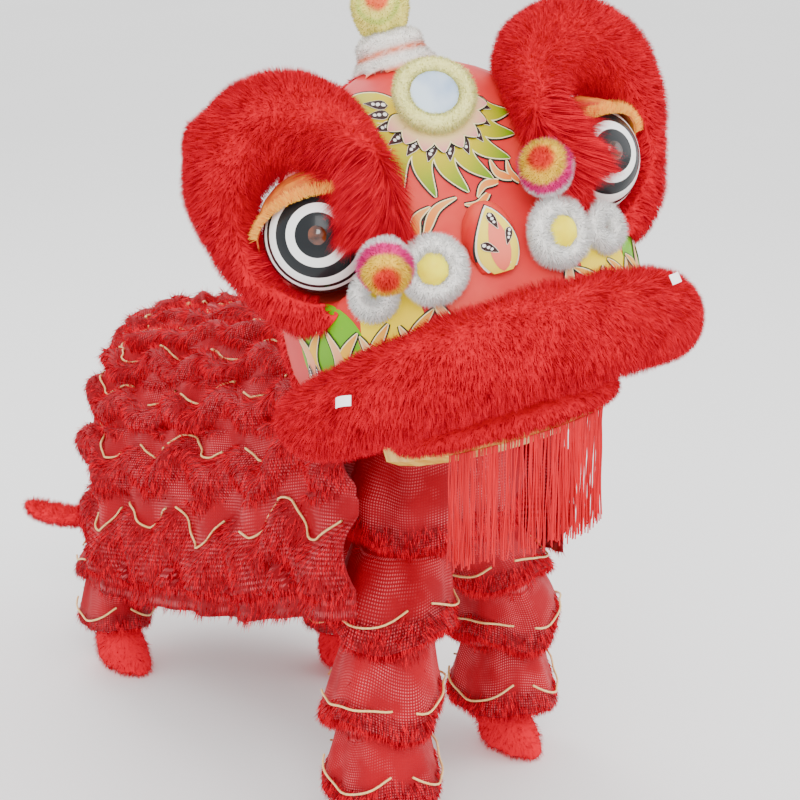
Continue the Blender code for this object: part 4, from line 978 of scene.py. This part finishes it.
legTurns = np.linspace(0, 2 * np.pi, 64, endpoint=False)
legLevels = np.linspace(0, 1.15, 60)
for end, s in trousers.items():
    pieces, cordPaths = [], []
    for side in sides:
        a, b = np.meshgrid(legTurns, legLevels)
        points = legPoint(end, side, a, b).reshape(-1, 3)
        # Fur on the ruffle at the foot of each tier
        tierPhase = (b.ravel() * legTiers + 0.02) % 1
        fur = smoothStep(tierPhase, 0.0, 0.04) * (1 - smoothStep(tierPhase, 0.38, 0.46))
        pieces.append((points, gridFaces(len(legLevels), len(legTurns), True), fur,
                       np.stack([a.ravel() * 0.11, b.ravel() * 0.5], 1)))
        for tier in range(3):
            for start in (0.4, 2.5, 4.6):
                swing = np.linspace(start, start + 1.7, 18)
                level = (tier + 0.50 - 0.16 * np.sin((swing - start) / 1.7 * np.pi)) / legTiers
                path = legPoint(end, side, swing, level)
                outward = path - np.array([*s["feet"][side], 0])
                outward[:, 2] = 0
                cordPaths.append(tube(path + unit(outward) * 0.010, 0.0025))
    share = np.linspace(0, 1, 24)
    a, b = np.meshgrid(legTurns, share)
    girth = np.interp(b, hipRows[:, 0], hipRows[:, 1])
    low, high = s["crotch"] + floorLevel - 0.02, s["waist"] + floorLevel
    girth = girth * (1 + 0.030 * np.cos(a * 7 + b * 5) + 0.015 * np.cos(a * 13))
    x = s["hip"][0] + s["halfWidth"] * girth * np.cos(a)
    y = s["hip"][1] + hipDepth * girth * np.sin(a)
    hips = np.stack([x, y, low + (high - low) * b + 0.010 * np.cos(a * 4)], -1).reshape(-1, 3)
    hipFur = (smoothStep(b, 0.05, 0.10) * (1 - smoothStep(b, 0.34, 0.42))).reshape(-1)
    pieces.append((hips, gridFaces(len(share), len(legTurns), True), hipFur,
                   np.stack([a.ravel() * 0.17, b.ravel() * 0.23], 1)))
    points = np.concatenate([p[0] for p in pieces])
    offsets = np.cumsum([0] + [len(p[0]) for p in pieces])
    faces = np.concatenate([p[1] + o for p, o in zip(pieces, offsets)])
    fur = np.concatenate([p[2] for p in pieces])
    uvs = np.concatenate([p[3] for p in pieces])
    normals = vertexNormals(points, faces)
    # The net is painted darker under the fur ruffles: painted shade.
    tints = netRed * (0.6 + 0.4 * (1 - fur))[:, None] * (1 + 0.15 * ripple(points, 18.0))[:, None]
    cloth = clothWall(f"{end}_trouser_net", points, faces, normals, tints, uvs)
    place(cloth, "head", "red_mesh", f"{end}_trousers")
    triangles = np.concatenate([faces[:, [0, 1, 2]], faces[:, [0, 2, 3]]])
    spots, facing = scatter(points, triangles, normals, s["hairs"], fur[triangles].mean(1) + 0.0005)
    ruffle = loosePile(f"{end}_trouser_ruffles", spots, facing, drapeStyle, ruffleRed)
    cordPoints, cordFaces = gather(cordPaths)
    trouserCord = makeMesh(f"{end}_trouser_cord", cordPoints, [cordFaces], None, cordGold)
    place(trouserCord, "head", "red_mesh")
    for side, (x, y) in s["feet"].items():
        furNode(f"{end}_{side}_shoe_fur", f"{end}_{side}_shoe_cover", "head", "red_fur",
                redFur, 4500, clear=0.0)
        # A ribbed sock: 30 ribs round it, and an inner face
        a, b = np.meshgrid(np.linspace(0, 2 * np.pi, 120, endpoint=False), np.linspace(0.075, 0.150, 4))
        size = 0.0425 + 0.0007 * np.cos(a * 30)
        foot = np.array([x, y, 0])
        rib = np.stack([size * np.cos(a), size * np.sin(a), b + floorLevel], -1).reshape(-1, 3)
        ribFaces = gridFaces(*a.shape, True)
        wall = np.concatenate([rib, rib * np.array([0.93, 0.93, 1])]) + foot
        knit = look("knit", plainCloud((0.80, 0.78, 0.74), (0.90, 0.88, 0.85), 90.0), 0.9)
        band = makeMesh(f"{end}_{side}_sock", wall, [ribFaces, ribFaces[:, ::-1] + len(rib)], None, knit)
        place(band, "head", "white_cloth", f"{end}_{side}_ankle_band")
print("trousers")

furNode("tail_fur", "tail", "head", "red_fur", redFur, 7000, clear=0.0)

# Beard strings
down = toHead(np.array([[0, 0, -1.0]]))[0]
strings = []
s = {"count": 190, "sweep": 44.0, "halfWidth": 0.2135, "depth": 0.2855, "top": -0.180, "length": 0.225}
for i in range(s["count"]):
    share = random.uniform(-1, 1)
    angle = math.radians(s["sweep"]) * share
    top = np.array([s["halfWidth"] * math.sin(angle), -s["depth"] * math.cos(angle), s["top"]])
    length = s["length"] * random.uniform(0.86, 1.0)
    steps = np.linspace(0, 1, 9)
    drift = random.normal(0, 0.004, 3)
    path = top + down * (length * steps)[:, None] + drift * (steps ** 1.5)[:, None]
    path = path + 0.0012 * np.sin(steps * 9 + i)[:, None] * np.array([1, 0.4, 0])
    strings.append(tube(inHead(path), 0.0016, 4))
stringPoints, stringFaces = gather(strings)
stringTints = np.repeat(random.uniform(0.75, 1.1, len(strings)), len(strings[0][0]))[:, None]
stringTints = stringTints * np.array([0.62, 0.0, 0.012])
# The beard strings glow a little in their own colour: painted light.
rayon = look("rayon", tinted, 0.5, Specular_IOR_Level=0.2, Emission_Strength=0.10)
beard = makeMesh("beard_fringe", stringPoints, [stringFaces], stringTints, rayon)
place(beard, "jaw", "red_string", "beard_strings")
print("beard")

# Floor, light and camera
floorCorners = [(-30, -30, floorLevel), (30, -30, floorLevel), (30, 30, floorLevel), (-30, 30, floorLevel)]
floorPaint = look("floor", plainCloud((0.90, 0.90, 0.90), (0.92, 0.92, 0.92), 0.5), 0.9)
floorMesh = makeMesh("floor", floorCorners, [[(0, 1, 2, 3)]], None, floorPaint)
world = bpy.data.worlds.new("studio")
bpy.context.scene.world = world
world.use_nodes = True
world.node_tree.nodes["Background"].inputs["Color"].default_value = (1.0, 1.0, 1.0, 1.0)
world.node_tree.nodes["Background"].inputs["Strength"].default_value = 1.75
for name, spot, power, size in (
    ("key", (-2.6, -3.4, 3.4), 190.0, 2.4), ("fill", (2.8, -2.2, 1.8), 70.0, 3.0),
    ("back", (0.5, 3.6, 3.2), 90.0, 2.5),
):
    lamp = bpy.data.lights.new(name, "AREA")
    lamp.energy = power
    lamp.size = size
    light = bpy.data.objects.new(name, lamp)
    light.location = spot
    light.rotation_mode = "QUATERNION"
    light.rotation_quaternion = (Vector(spot) - Vector((0.1, 0.3, -0.3))).to_track_quat("Z", "Y")
    bpy.context.scene.collection.objects.link(light)
view = bpy.data.cameras.new("view")
view.lens = 88.92
view.sensor_width = 36.0
camera = bpy.data.objects.new("view", view)
camera.location = (-2.23751, -2.66656, 1.06423)
camera.rotation_mode = "QUATERNION"
camera.rotation_quaternion = Vector((0.58240, 0.74542, -0.32429)).to_track_quat("-Z", "Y")
bpy.context.scene.collection.objects.link(camera)
bpy.context.scene.camera = camera
